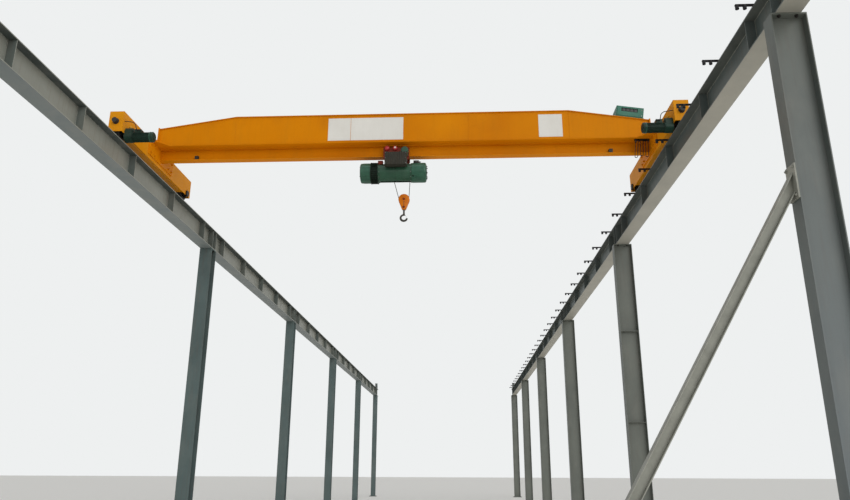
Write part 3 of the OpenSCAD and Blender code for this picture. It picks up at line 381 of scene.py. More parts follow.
def hoist_finishes(hoist):
    """The hoist's and the hook block's enamels, plastic, rope and bare steels."""
    return {
        # Hammered enamel on rolled sheet: bottle green, glossy, with oily black runs.
        "hoist_paint": painted_steel(
            "green_hammered_enamel_on_hoist", hoist, "#214432", dust="#6b7a6c", rust="#1c1f17", rough=0.3,
            dusty=0.25, streaky=0.35, patch=160, gloss=0.35),
        # The same enamel on cast ends, in a lighter green that is partly a painted highlight on the rounded
        # castings: it sets them off from the drum.
        "light_green": painted_steel(
            "green_enamel_with_painted_highlight_on_castings", "#2a5c46", "#204636", dust="#6b7a6c", rust="#1c1f17", rough=0.3,
            dusty=0.25, streaky=0.25, patch=120, gloss=0.35),
        # Enamel on the ribbed ring: the dark break between motor and drum.
        "ring_paint": painted_steel(
            "black_green_enamel_on_ribbed_ring", "#15251b", "#101c15", dust="#3c4238", dusty=0.2,
            streaky=0.05, rusty=0.1, patch=200, gloss=0.15),
        # Powder coat on a pressed lid: an olive grey that is almost black.
        "control_paint": painted_steel(
            "olive_grey_powder_coat_on_pressed_lid", "#35332b", "#2b2a24", dust="#5f5c53", dusty=0.2,
            rusty=0.15, patch=200, gloss=0.15),
        # Red oxide primer on cut plate: a flat brick red behind the control box.
        "plate_paint": painted_steel(
            "red_oxide_primer_on_plates", "#7c3024", "#68281d", dust="#7a6757", rough=0.6, dusty=0.25,
            patch=200, gloss=0.15),
        # Moulded plastic: two bright red caps.
        "red_cap": moulded("red_moulded_plastic_cap", "#b3282a", "#962023", 0.4, 0.2),
        # Enamel on the pressed covers: the orange of the girder, redder and more worn.
        "block_paint": painted_steel(
            "orange_enamel_on_hook_block", "#d27408", "#b85e05", dust="#8a6438", rough=0.4, dusty=0.1,
            streaky=0.15, rusty=0.4, patch=120, gloss=0.15),
        # Paint dipped on a drop forging: dark olive with brown patches and rusty edges.
        "hook_steel": painted_steel(
            "dark_dipped_paint_on_forged_hook", "#2d2f29", "#3a3128", dust="#5a5145", dusty=0.2,
            streaky=0.0, rusty=0.6, patch=50, gloss=0.3),
        # Steel wire laid up in grease: a dark rope with a glint in it.
        "rope_steel": rope_wire("greased_wire_rope"),
        # Turned steel gone dark with oil: brown-black bolts and clips.
        "dark_steel": bare_steel("turned_steel_gone_dark", "#3b3936", "#2c221a", 0.45, 0.6),
        # Zinc plate on small steel: pale grey screws with dull stains.
        "bright_steel": bare_steel("zinc_plated_steel", "#8e8f8d", "#6a5c4a", 0.4),
    }


# Pieces whose finish isn't the one that their slot is named for
OTHER_FINISH = {
    "hoist_gearbox": "light_green", "hoist_motor": "light_green", "columns_left": "left_columns",
    "runway_beams_right": "right_beams", "end_truck_left": "truck_paint", "end_truck_right": "truck_paint",
    "end_stops": "right_beams",
}


# Shapes

def square_to(axis):
    """Two directions square to an axis and to each other, and the axis itself, all one long."""
    w = Vector(axis).normalized()
    u = w.orthogonal().normalized()
    return u, w.cross(u), w


def skin_over(bm, rings):
    """Skins a row of equal rings of points, and closes the two ends."""
    rows = [[bm.verts.new(p) for p in ring] for ring in rings]
    n = len(rows[0])
    for a, b in zip(rows, rows[1:]):
        for i in range(n):
            bm.faces.new((a[i], a[(i + 1) % n], b[(i + 1) % n], b[i]))
    bm.faces.new(rows[0][::-1])
    bm.faces.new(rows[-1])


def turn_on(bm, start, axis, profile, sides=32):
    """Turns a profile of (distance along the axis, radius) pairs."""
    u, v, w = square_to(axis)
    spokes = [u * cos(2 * pi * k / sides) + v * sin(2 * pi * k / sides) for k in range(sides)]
    skin_over(bm, [[Vector(start) + w * s + spoke * max(r, 1e-5) for spoke in spokes] for s, r in profile])


def plate_on(bm, low, high, edge, turn=None, steps=2):
    """A plate between two corners, with rounded edges, turned by a matrix."""
    before = set(bm.verts)
    made = bmesh.ops.create_cube(bm, size=1)["verts"]
    low, high = Vector(low), Vector(high)
    for v in made:
        v.co = Vector((v.co[i] + 0.5) * (high[i] - low[i]) + low[i] for i in range(3))
    edges = {e for v in made for e in v.link_edges}
    bmesh.ops.bevel(bm, geom=list(edges), offset=edge, segments=steps, affect="EDGES", profile=0.5)
    if turn is not None:
        bmesh.ops.transform(bm, matrix=turn, verts=[v for v in bm.verts if v not in before])


def tube_on(bm, path, radius, sides=12, flat=1.0, side=None):
    """A round or flattened tube along a path of points, its width along the given side."""
    path = [Vector(p) for p in path]
    rings = []
    for i, p in enumerate(path):
        ahead = (path[min(i + 1, len(path) - 1)] - path[max(i - 1, 0)]).normalized()
        side = Vector(ahead.orthogonal() if side is None else side - ahead * side.dot(ahead)).normalized()
        up = ahead.cross(side)
        angles = [2 * pi * k / sides for k in range(sides)]
        rings.append([p + side * radius * cos(a) + up * radius * flat * sin(a) for a in angles])
    skin_over(bm, rings)


def smooth_path(points, steps=10):
    """A Catmull-Rom curve through the points."""
    pts = [Vector(p) for p in points]
    pts = [2 * pts[0] - pts[1]] + pts + [2 * pts[-1] - pts[-2]]
    made = []
    for a, b, c, d in zip(pts, pts[1:], pts[2:], pts[3:]):
        for k in range(steps):
            t = k / steps
            made.append(0.5 * (2 * b + (c - a) * t + (2 * a - 5 * b + 4 * c - d) * t * t
                               + (3 * b - a - 3 * c + d) * t ** 3))
    return made + [pts[-2]]


def as_object(name, mesh, finish, body, stands_for=(), smooth=35):
    """Gives a finished mesh its finish, its body and what it replaces."""
    mesh.materials.clear()
    mesh.materials.append(FINISHES[finish])
    mesh.polygons.foreach_set("use_smooth", [True] * len(mesh.polygons))
    mesh.set_sharp_from_angle(angle=radians(smooth))
    made = bpy.data.objects.new(name, mesh)
    bpy.context.scene.collection.objects.link(made)
    if body:
        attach(made, body)
    if stands_for:
        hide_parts(*stands_for)
    return made


def from_shape(name, bm, finish, body, stands_for=(), smooth=35):
    """Closes the seams of a shape, turns its faces outwards and makes it a piece."""
    bmesh.ops.remove_doubles(bm, verts=bm.verts, dist=2e-6)
    bmesh.ops.dissolve_degenerate(bm, edges=bm.edges, dist=1e-6)
    bmesh.ops.recalc_face_normals(bm, faces=bm.faces)
    mesh = bpy.data.meshes.new(name)
    bm.to_mesh(mesh)
    bm.free()
    return as_object(name, mesh, finish, body, stands_for, smooth)


def frozen(name, host):
    """The mesh that an object's modifiers give. The object itself goes."""
    bpy.context.view_layer.update()
    mesh = bpy.data.meshes.new_from_object(host.evaluated_get(bpy.context.evaluated_depsgraph_get()))
    bpy.data.objects.remove(host)
    mesh.name = name
    return mesh


# Geometry Nodes

M20 = {"Washer radius": 0.0185, "Washer thickness": 0.0035, "Head radius": 0.0173, "Head height": 0.013,
       "Thread radius": 0.010, "Thread length": 0.008}


def new_tree(name, inputs):
    """A node group that takes a geometry and the named sizes, and gives a geometry."""
    tree = bpy.data.node_groups.new(name, "GeometryNodeTree")
    tree.interface.new_socket("Geometry", in_out="INPUT", socket_type="NodeSocketGeometry")
    for label, value in inputs.items():
        kind = "NodeSocketInt" if isinstance(value, int) else "NodeSocketFloat"
        tree.interface.new_socket(label, in_out="INPUT", socket_type=kind).default_value = value
    tree.interface.new_socket("Finish", in_out="INPUT", socket_type="NodeSocketMaterial")
    tree.interface.new_socket("Geometry", in_out="OUTPUT", socket_type="NodeSocketGeometry")
    return tree, add(tree, "NodeGroupInput").outputs


def close_tree(tree, given, geometry):
    """Ends a tree: instances made real, and the finish set."""
    real = add(tree, "GeometryNodeRealizeInstances", (geometry,))
    add(tree, "NodeGroupOutput", (add(tree, "GeometryNodeSetMaterial", {
        "Geometry": real, "Material": given["Finish"]}),))
    return tree


def placed(tree, points, shape, spin=pi):
    """Copies a shape to points, along their axis attribute and in the size of their size attribute."""
    axis = add(tree, "GeometryNodeInputNamedAttribute", {"Name": "axis"}, data_type="FLOAT_VECTOR")
    size = add(tree, "GeometryNodeInputNamedAttribute", {"Name": "size"}, data_type="FLOAT")
    aim = add(tree, "FunctionNodeAlignRotationToVector", {"Vector": axis}, axis="Z")
    if spin:
        turn = add(tree, "FunctionNodeRandomValue", {2: 0.0, 3: spin, "Seed": 7},
                   data_type="FLOAT").outputs[1]
        twist = add(tree, "FunctionNodeEulerToRotation", (add(tree, "ShaderNodeCombineXYZ", {"Z": turn}),))
        aim = add(tree, "FunctionNodeRotateRotation", (aim, twist), rotation_space="LOCAL")
    return add(tree, "GeometryNodeInstanceOnPoints", {"Points": points, "Instance": shape, "Rotation": aim,
                                                      "Scale": size})


def bolt_tree():
    """A hexagon head on a washer, with the end of its thread, at each point along the point's axis."""
    tree, given = new_tree("hexagon_fixing", M20)
    whole = add(tree, "GeometryNodeJoinGeometry")
    foot = 0.0
    for part, measure, sides in (("Washer", "thickness", 16), ("Head", "height", 6),
                                 ("Thread", "length", 10)):
        tall = given[f"{part} {measure}"]
        shape = add(tree, "GeometryNodeMeshCylinder", {"Vertices": sides, "Radius": given[part + " radius"],
                                                       "Depth": tall})
        half = add(tree, "ShaderNodeMath", (tall, 0.5), operation="MULTIPLY")
        rise = add(tree, "ShaderNodeMath", (foot, half), operation="ADD")
        moved = add(tree, "GeometryNodeTransform", {
            "Geometry": shape, "Translation": add(tree, "ShaderNodeCombineXYZ", {"Z": rise})})
        wire(tree, whole, (moved,))
        foot = add(tree, "ShaderNodeMath", (foot, tall), operation="ADD")
    return close_tree(tree, given, placed(tree, given["Geometry"], whole))


def clip_tree():
    """A forged rail clip with its bolt at each point: its axis points from the clip to the rail."""
    tree, given = new_tree("rail_clip", {"Width": 0.055, "Thickness": 0.012, "Foot height": 0.010})
    base = add(tree, "GeometryNodeMeshCube", (add(tree, "ShaderNodeCombineXYZ", (
        0.048, given["Width"], given["Foot height"])),))
    nose = add(tree, "GeometryNodeMeshCube", (add(tree, "ShaderNodeCombineXYZ", (
        0.066, given["Width"], given["Thickness"])),))
    nut = add(tree, "GeometryNodeMeshCylinder", {"Vertices": 6, "Radius": M20["Head radius"],
                                                 "Depth": M20["Head height"]})
    stud = add(tree, "GeometryNodeMeshCylinder", {"Vertices": 8, "Radius": 0.009, "Depth": 0.010})
    whole = add(tree, "GeometryNodeJoinGeometry")
    for shape, spot in ((base, (-0.026, 0, 0.005)), (nose, (-0.017, 0, 0.016)), (nut, (-0.026, 0, 0.0285)),
                        (stud, (-0.026, 0, 0.040))):
        wire(tree, whole, (add(tree, "GeometryNodeTransform", {"Geometry": shape, "Translation": spot}),))
    axis = add(tree, "GeometryNodeInputNamedAttribute", {"Name": "axis"}, data_type="FLOAT_VECTOR")
    aim = add(tree, "FunctionNodeAlignRotationToVector", {"Vector": axis}, axis="X", pivot_axis="Z")
    return close_tree(tree, given, add(tree, "GeometryNodeInstanceOnPoints", {
        "Points": given["Geometry"], "Instance": whole, "Rotation": aim}))


def rope_tree():
    """A laid rope along a line: a lobed section that turns once in each lay."""
    tree, given = new_tree("laid_rope", {"Diameter": 0.011, "Lay length": 0.07, "Steps in a lay": 12.0,
                                         "Strands": 6})
    line = add(tree, "GeometryNodeMeshToCurve", {"Mesh": given["Geometry"]})
    step = add(tree, "ShaderNodeMath", (given["Lay length"], given["Steps in a lay"]), operation="DIVIDE")
    fine = add(tree, "GeometryNodeResampleCurve", {"Curve": line, "Length": step}, mode="LENGTH")
    run = add(tree, "GeometryNodeSplineParameter").outputs["Length"]
    lays = add(tree, "ShaderNodeMath", (run, given["Lay length"]), operation="DIVIDE")
    turn = add(tree, "ShaderNodeMath", (lays, 2 * pi), operation="MULTIPLY")
    laid = add(tree, "GeometryNodeSetCurveTilt", {"Curve": fine, "Tilt": turn})
    outer = add(tree, "ShaderNodeMath", (given["Diameter"], 0.5), operation="MULTIPLY")
    inner = add(tree, "ShaderNodeMath", (outer, 0.78), operation="MULTIPLY")
    lobes = add(tree, "GeometryNodeCurveStar", {"Points": given["Strands"], "Inner Radius": inner,
                                                "Outer Radius": outer})
    return close_tree(tree, given, add(tree, "GeometryNodeCurveToMesh", {
        "Curve": laid, "Profile Curve": lobes, "Fill Caps": True}))


def bead_tree():
    """A weld bead along each line, with its ripples."""
    tree, given = new_tree("weld_bead", {"Leg": 0.008, "Ripple": 0.010, "Thinnest": 0.8, "Thickest": 1.2})
    line = add(tree, "GeometryNodeMeshToCurve", {"Mesh": given["Geometry"]})
    fine = add(tree, "GeometryNodeResampleCurve", {"Curve": line, "Length": given["Ripple"]}, mode="LENGTH")
    wobble = add(tree, "FunctionNodeRandomValue", {2: given["Thinnest"], 3: given["Thickest"], "Seed": 11},
                 data_type="FLOAT").outputs[1]
    fat = add(tree, "GeometryNodeSetCurveRadius", {"Curve": fine, "Radius": wobble})
    section = add(tree, "GeometryNodeCurvePrimitiveCircle", {"Resolution": 6, "Radius": given["Leg"]})
    return close_tree(tree, given, add(tree, "GeometryNodeCurveToMesh", {
        "Curve": fat, "Profile Curve": section, "Fill Caps": True}))


def grille_tree():
    """A fan guard: rings and spokes about each point's axis."""
    tree, given = new_tree("fan_guard", {"Radius": 0.07, "Wire": 0.0018, "Rings": 6, "Spokes": 8})
    index = add(tree, "GeometryNodeInputIndex")
    ring = add(tree, "GeometryNodeCurvePrimitiveCircle", {"Resolution": 32, "Radius": given["Radius"]})
    number = add(tree, "ShaderNodeMath", (index, 1.0), operation="ADD")
    rings = add(tree, "GeometryNodeInstanceOnPoints", {
        "Points": add(tree, "GeometryNodeMeshLine", {"Count": given["Rings"], "Offset": (0, 0, 0)}),
        "Instance": ring,
        "Scale": add(tree, "ShaderNodeMath", (number, given["Rings"]), operation="DIVIDE")})
    spoke = add(tree, "GeometryNodeCurvePrimitiveLine", {
        "End": add(tree, "ShaderNodeCombineXYZ", {"X": given["Radius"]})})
    part = add(tree, "ShaderNodeMath", (2 * pi, given["Spokes"]), operation="DIVIDE")
    angle = add(tree, "ShaderNodeMath", (index, part), operation="MULTIPLY")
    spokes = add(tree, "GeometryNodeInstanceOnPoints", {
        "Points": add(tree, "GeometryNodeMeshLine", {"Count": given["Spokes"], "Offset": (0, 0, 0)}),
        "Instance": spoke, "Rotation": add(tree, "ShaderNodeCombineXYZ", {"Z": angle})})
    both = add(tree, "GeometryNodeJoinGeometry")
    wire(tree, both, (rings,))
    wire(tree, both, (spokes,))
    section = add(tree, "GeometryNodeCurvePrimitiveCircle", {"Resolution": 6, "Radius": given["Wire"]})
    guard = add(tree, "GeometryNodeCurveToMesh", {
        "Curve": add(tree, "GeometryNodeRealizeInstances", (both,)), "Profile Curve": section,
        "Fill Caps": True})
    return close_tree(tree, given, placed(tree, given["Geometry"], guard, 0))


TREES = {}


def grown(name, tree, sizes, finish, body, points=(), lines=(), stands_for=(), smooth=30):
    """Runs a node group on points, as (place, axis, size), or on lines, and keeps the result as a mesh."""
    verts = [p[0] for p in points]
    edges = []
    for line in lines:
        edges += [(len(verts) + i, len(verts) + i + 1) for i in range(len(line) - 1)]
        verts += line
    seed = bpy.data.meshes.new(name)
    seed.from_pydata([tuple(v) for v in verts], edges, [])
    if points:
        axes = seed.attributes.new("axis", "FLOAT_VECTOR", "POINT")
        axes.data.foreach_set("vector", [c for p in points for c in Vector(p[1]).normalized()])
        scales = seed.attributes.new("size", "FLOAT", "POINT")
        scales.data.foreach_set("value", [p[2] for p in points])
    host = bpy.data.objects.new(name + "_seed", seed)
    bpy.context.scene.collection.objects.link(host)
    mod = host.modifiers.new("grow", "NODES")
    mod.node_group = TREES[tree]
    named = {s.name: s.identifier for s in TREES[tree].interface.items_tree
             if s.item_type == "SOCKET" and s.in_out == "INPUT"}
    for label, value in sizes.items():
        mod[named[label]] = value
    mod[named["Finish"]] = FINISHES[finish]
    mesh = frozen(name, host)
    for attribute in [a.name for a in mesh.attributes if a.name in ("axis", "size")]:
        mesh.attributes.remove(mesh.attributes[attribute])
    return as_object(name, mesh, finish, body, stands_for, smooth)


def bolts(name, points, finish, body):
    """Hexagon bolts at (place, axis, size) rows, where size 1 is an M20."""
    return grown(name, "hexagon_fixing", M20, finish, body, points)


def bolt_circle(centre, facing, radius, count, first, size):
    """Rows for bolts evenly round a centre that face along X. The first one is at an angle in degrees."""
    x, y, z = centre
    angles = [radians(first + 360 * k / count) for k in range(count)]
    return [((x, y + radius * cos(a), z + radius * sin(a)), (facing, 0, 0), size) for a in angles]


def gland(nut, neck, step, length, mouth):
    """The profile of a cable gland: a nut 6 mm thick, and a neck with a taper to its mouth."""
    return [(0, nut), (0.006, nut), (0.006, neck), (step, neck), (length, mouth)]


def mirrored(x, right):
    """A place at the left end of the bridge, or its like at the right end."""
    return SPAN - x if right else x


# Values a user would change

def paint_choice(name, description, code):
    """A colour that a user may change."""
    return bpy.props.FloatVectorProperty(name=name, description=description, default=linear(code), size=4,
                                         min=0, max=1, subtype="COLOR")


class CraneColours(bpy.types.PropertyGroup):
    """Colours of the crane's finishes."""
    girder: paint_choice("Bridge", "Enamel of the girder", "#d68402")
    hoist: paint_choice("Hoist", "Enamel of the hoist", "#294f3a")
    cabinet: paint_choice("Cabinet", "Powder coat of the electrical cabinet", "#487c6b")
    beams: paint_choice("Runway beams", "Enamel of the left runway beams", "#8e9087")


class CraneFixings(bpy.types.PropertyGroup):
    """Sizes of the crane's fixings."""
    clip_pitch: bpy.props.FloatProperty(name="Clip pitch", description="Distance between rail clips",
                                        default=0.75, min=0.3, max=1.5, unit="LENGTH")
    anchor_stud: bpy.props.FloatProperty(name="Anchor size", description="Anchor studs, where 1 is M20",
                                         default=1.2, min=0.6, max=1.8)
    rope_lay: bpy.props.FloatProperty(name="Rope lay", description="Length of one turn of the rope's strands",
                                      default=0.07, min=0.04, max=0.12, unit="LENGTH")


class CraneStudio(bpy.types.PropertyGroup):
    """The camera and the light."""
    lens: bpy.props.FloatProperty(name="Lens", description="Focal length for a 36 mm wide frame",
                                  default=30.0, min=15, max=85, unit="CAMERA")
    key: bpy.props.FloatProperty(name="Key light", description="Strength of the low main light", default=1.3,
                                 min=0, max=8)
    top: bpy.props.FloatProperty(name="Top light", description="Strength of the light from above",
                                 default=0.5, min=0, max=5)
    fill: bpy.props.FloatProperty(name="Fill", description="Strength of the light from all round",
                                  default=0.5, min=0, max=2)
    bounce: bpy.props.FloatProperty(name="Bounce", description="Strength of the light off the floor",
                                    default=0.92, min=0, max=2)


def settings():
    """The colours, the fixings' sizes and the studio's values."""
    scene = bpy.context.scene
    return scene.crane_colours, scene.crane_fixings, scene.crane_studio


# The studio

# Where the photograph was taken from, and how the camera was turned, in degrees
EYE = (5.156, -6.224, 1.5)
YAW, PITCH, ROLL = 2.825, 17.235, 0.213
FLOOR_REACH = 150.0


class CRANE_OT_stage(bpy.types.Operator):
    """Floor, light and the camera at the photograph's angle"""
    bl_idname = "crane.stage"
    bl_label = "Stage"

    def execute(self, context):
        studio = settings()[2]
        self.lay_floor(context, studio)
        self.light_world(context, studio)
        for name, strength, spread, aim in (("key", studio.key, 50, (-0.6, 1.0, -0.3)),
                                            ("top", studio.top, 60, (-0.3, 0.2, -1.0))):
            lamp = bpy.data.lights.new(name, "SUN")
            lamp.energy = strength
            lamp.angle = radians(spread)
            source = bpy.data.objects.new(name, lamp)
            source.rotation_euler = Vector(aim).to_track_quat("-Z", "Y").to_euler()
            context.scene.collection.objects.link(source)
        self.set_camera(context, studio)
        return {"FINISHED"}

    def lay_floor(self, context, studio):
        """A plain pale floor, which throws light up at the crane."""
        # Matt pale screed: it looks plain, and its glow reaches the crane's underside evenly.
        made, tree, skin, _, _ = new_finish("pale_floor")
        wire(tree, skin, {"Base Color": linear("#dedcd6"), "Roughness": 0.8})
        seen = add(tree, "ShaderNodeLightPath").outputs["Is Diffuse Ray"]
        thrown = add(tree, "ShaderNodeEmission", {"Color": linear("#f3f1ec"), "Strength": studio.bounce})
        wire(tree, tree.get_output_node("ALL"), (add(tree, "ShaderNodeMixShader", (seen, skin, thrown)),))
        made.cycles.emission_sampling = "NONE"
        r = FLOOR_REACH
        mesh = bpy.data.meshes.new("floor")
        mesh.from_pydata([(-r, -r, 0), (r, -r, 0), (r, r, 0), (-r, r, 0)], [], [(0, 1, 2, 3)])
        mesh.materials.append(made)
        floor = bpy.data.objects.new("floor", mesh)
        context.scene.collection.objects.link(floor)

    def light_world(self, context, studio):
        """Light from all round, stronger from the right, behind a plain pale backdrop."""
        world = bpy.data.worlds.new("soft_daylight")
        context.scene.world = world
        world.use_nodes = True
        tree = world.node_tree
        tree.nodes.clear()
        ray = add(tree, "ShaderNodeLightPath").outputs
        seen = add(tree, "ShaderNodeMath", (ray["Is Camera Ray"], ray["Is Glossy Ray"]), operation="MAXIMUM")
        seen = add(tree, "ShaderNodeMath", (seen, ray["Is Transmission Ray"]), operation="MAXIMUM")
        across = add(tree, "ShaderNodeSeparateXYZ",
                     (add(tree, "ShaderNodeTexCoord").outputs["Generated"],)).outputs["X"]
        strength = add(tree, "ShaderNodeMapRange", (across, -1.0, 1.0, studio.fill * 0.6, studio.fill * 1.4))
        light = add(tree, "ShaderNodeBackground", {"Color": linear("#f4f6fa"), "Strength": strength})
        backdrop = add(tree, "ShaderNodeBackground", {"Color": linear("#eef0f0"), "Strength": 1.0})
        add(tree, "ShaderNodeOutputWorld", (add(tree, "ShaderNodeMixShader", (seen, light, backdrop)),))

    def set_camera(self, context, studio):
        """The camera where the photograph was taken."""
        lens = bpy.data.cameras.new("photo")
        lens.sensor_width = 36
        lens.lens = studio.lens
        lens.clip_start, lens.clip_end = 0.1, 400
        yaw, pitch, roll = radians(YAW), radians(PITCH), radians(ROLL)
        ahead = Vector((-sin(yaw) * cos(pitch), cos(yaw) * cos(pitch), sin(pitch)))
        right = Vector((cos(yaw), sin(yaw), 0))
        up = right.cross(ahead)
        right, up = right * cos(roll) + up * sin(roll), up * cos(roll) - right * sin(roll)
        camera = bpy.data.objects.new("photo", lens)
        camera.matrix_world = Matrix.Translation(EYE) @ Matrix((right, up, -ahead)).transposed().to_4x4()
        context.scene.collection.objects.link(camera)
        context.scene.camera = camera
        context.scene.view_settings.view_transform = "Standard"


class CRANE_OT_finishes(bpy.types.Operator):
    """Paint, steel and rubber for every part of the frame"""
    bl_idname = "crane.finishes"
    bl_label = "Finishes"

    def execute(self, context):
        colours = settings()[0]
        FINISHES.update(runway_finishes(colours.beams))
        FINISHES.update(bridge_finishes(colours.girder, colours.cabinet))
        FINISHES.update(hoist_finishes(colours.hoist))
        for part in frame["record"]["subparts"]:
            node = frame["nodes"][part["node"]]
            if not node.material_slots:
                node.data.materials.append(None)
            for holder in node.material_slots:
                holder.material = FINISHES[OTHER_FINISH.get(part["node"], part["material_slot"])]
        return {"FINISHED"}


# The runway

class CRANE_OT_runway_fixings(bpy.types.Operator):
    """Anchor studs, beam bolts, rail clips and bracket bolts of the runway"""
    bl_idname = "crane.runway_fixings"
    bl_label = "Runway fixings"

    def execute(self, context):
        sizes = settings()[1]
        up, down = (0, 0, 1), (0, 0, -1)
        corners = [(sx, sy) for sx in (-1, 1) for sy in (-1, 1)]
        anchors = [((x + sx * dx, y + sy * dy, PLATE_TOP), up, sizes.anchor_stud)
                   for x, dx, dy in ((0, 0.155, 0.155), (SPAN, 0.195, 0.125)) for y in ROWS
                   for sx, sy in corners]
        bolts("anchor_nuts", anchors, "bright_steel", "runway")

        head_plate = 0.016
        beam = [((x + sx * 0.085, y + sy * 0.06, z), axis, 1.0) for x in RAILS for y in ROWS
                for sx, sy in corners
                for z, axis in ((BEAM_FOOT + BEAM_FLANGE, up), (BEAM_FOOT - head_plate, down))]
        bolts("beam_bolts", beam, "dark_steel", "runway")

        rail = BOX["rail_left"]
        y0, y1 = rail[0].y + 0.25, rail[1].y - 0.25
        gaps = int((y1 - y0) / sizes.clip_pitch)
        clips = [((x + s * rail[1].x, y0 + (y1 - y0) / gaps * i, BEAM_TOP), (-s, 0, 0), 1.0)
                 for x in RAILS for i in range(gaps + 1) for s in (-1, 1)]
        grown("rail_clips", "rail_clip", {}, "dark_steel", "runway", clips)

        arms_in_bay = 7
        arms = [((SPAN - 0.095, 0.340 + BAY / arms_in_bay * i, BOX["conductor_brackets"][1].z), up, 0.6)
                for i in range(BAYS * arms_in_bay)]
        bolts("bracket_bolts", arms, "dark_steel", "runway")
        return {"FINISHED"}


class CRANE_OT_strut_bolts(bpy.types.Operator):
    """Anchors at the strut's foot and bolts through its head plate"""
    bl_idname = "crane.strut_bolts"
    bl_label = "Strut bolts"

    def execute(self, context):
        low, high = BOX["raking_strut"]
        plate, head_plate = 0.016, 0.016
        anchors = [((low.x + 0.110 + sx * 0.088, sy * 0.055, plate), (0, 0, 1), 0.9)
                   for sx in (-1, 1) for sy in (-1, 1)]
        bolts("strut_anchors", anchors, "bright_steel", "runway")
        head = [((high.x - head_plate, sy * 0.066, high.z - drop), (-1, 0, 0), 0.8)
                for drop in (0.032, 0.308) for sy in (-1, 1)]
        bolts("strut_head_bolts", head, "strut_paint", "runway")
        return {"FINISHED"}


# The bridge

class CRANE_OT_bridge_fixings(bpy.types.Operator):
    """Bolts of the girder's end plates and screws of the bearing housings"""
    bl_idname = "crane.bridge_fixings"
    bl_label = "Bridge fixings"

    def execute(self, context):
        plate_foot = BOX["girder_end_left"][0].z
        joint = [((face, BRIDGE_Y + sy * out, plate_foot + rise), (s, 0, 0), 1.0)
                 for face, s in ((GIRDER[0].x, 1), (GIRDER[1].x, -1)) for sy in (-1, 1)
                 for out in (0.29, 0.42) for rise in (0.05, 0.19)]
        bolts("end_plate_bolts", joint, "girder_paint", "bridge")

        # The near wheels have a drive on their inner side, so only their outer housings have screws.
        near, far = middle("wheel_left_near", Y), middle("wheel_left_far", Y)
        out = HOUSING_OUT
        screws = []
        for x, y, s in ((-out, near, -1), (-out, far, -1), (out, far, 1), (SPAN + out, near, 1),
                        (SPAN + out, far, 1), (SPAN - out, far, -1)):
            screws += bolt_circle((x, y, AXLE_Z), s, 0.044, 6, 30, 0.4)
        bolts("bearing_screws", screws, "bright_steel", "bridge")
        return {"FINISHED"}


class CRANE_OT_travel_drives(bpy.types.Operator):
    """Terminal lids, glands, fan guards, covers and bolts of the travel drives"""
    bl_idname = "crane.travel_drives"
    bl_label = "Travel drives"

    def execute(self, context):
        lids, glands, rings, vents, covers = (bmesh.new() for _ in range(5))
        screws, heads, guards = [], [], []
        box_top = MOTOR_Z + 0.108
        lid_top = box_top + 0.0095
        gearbox_x = middle("travel_gearbox_left", X)
        for right in (False, True):
            out = -1 if right else 1

            def at(from_gearbox):
                """A place at a distance from the face where motor and gearbox meet."""
                return mirrored(MOTOR_X0 + from_gearbox, right)

            lo, hi = sorted((at(0.033), at(0.134)))
            plate_on(lids, (lo, MOTOR_Y - 0.048, box_top), (hi, MOTOR_Y + 0.048, lid_top), 0.003)
            screws += [((at(x), MOTOR_Y + y, lid_top), (0, 0, 1), 0.3)
                       for x in (0.042, 0.125) for y in (-0.039, 0.039)]
            for x, size in ((0.083, 0.018), (0.118, 0.014)):
                turn_on(glands, (at(x), MOTOR_Y - 0.0445, MOTOR_Z + 0.095), (0, -1, 0),
                        gland(size * 0.75, size * 0.62, 0.016, 0.022, size * 0.4), 6)
            turn_on(rings, (at(0.276), MOTOR_Y, MOTOR_Z), (out, 0, 0),
                    [(0, 0.0795), (0.001, 0.0812), (0.011, 0.0812), (0.012, 0.0795)], 48)
            turn_on(vents, (mirrored(gearbox_x, right), MOTOR_Y - 0.010, AXLE_Z + 0.0705), (0, 0, 1),
                    [(0, 0.016), (0.010, 0.016), (0.012, 0.020), (0.026, 0.020), (0.032, 0.012),
                     (0.034, 0)], 24)
            turn_on(covers, (at(-0.0005), MOTOR_Y, AXLE_Z), (out, 0, 0),
                    [(0, 0.050), (0.004, 0.050), (0.006, 0.047), (0.006, 0.030), (0.009, 0.027),
                     (0.009, 0)], 40)
            heads += bolt_circle((at(0.0055), MOTOR_Y, AXLE_Z), out, 0.040, 6, 0, 0.3)
            heads += bolt_circle((at(0.0140), MOTOR_Y, MOTOR_Z), out, 0.0735, 8, 22.5, 0.3)
            guards.append(((mirrored(MOTOR_X1 + 0.0005, right), MOTOR_Y, MOTOR_Z), (out, 0, 0), 1.0))
        from_shape("terminal_lids", lids, "drive_paint", "bridge")
        from_shape("cable_glands", glands, "dark_steel", "bridge")
        from_shape("cowl_rings", rings, "light_green", "bridge")
        from_shape("gearbox_breathers", vents, "sandy_board", "bridge")
        from_shape("axle_covers", covers, "drive_paint", "bridge")
        bolts("lid_screws", screws, "bright_steel", "bridge")
        bolts("drive_bolts", heads, "dark_steel", "bridge")
        grown("fan_guards", "fan_guard", {"Radius": 0.062, "Wire": 0.0014}, "drive_paint", "bridge", guards)
        return {"FINISHED"}


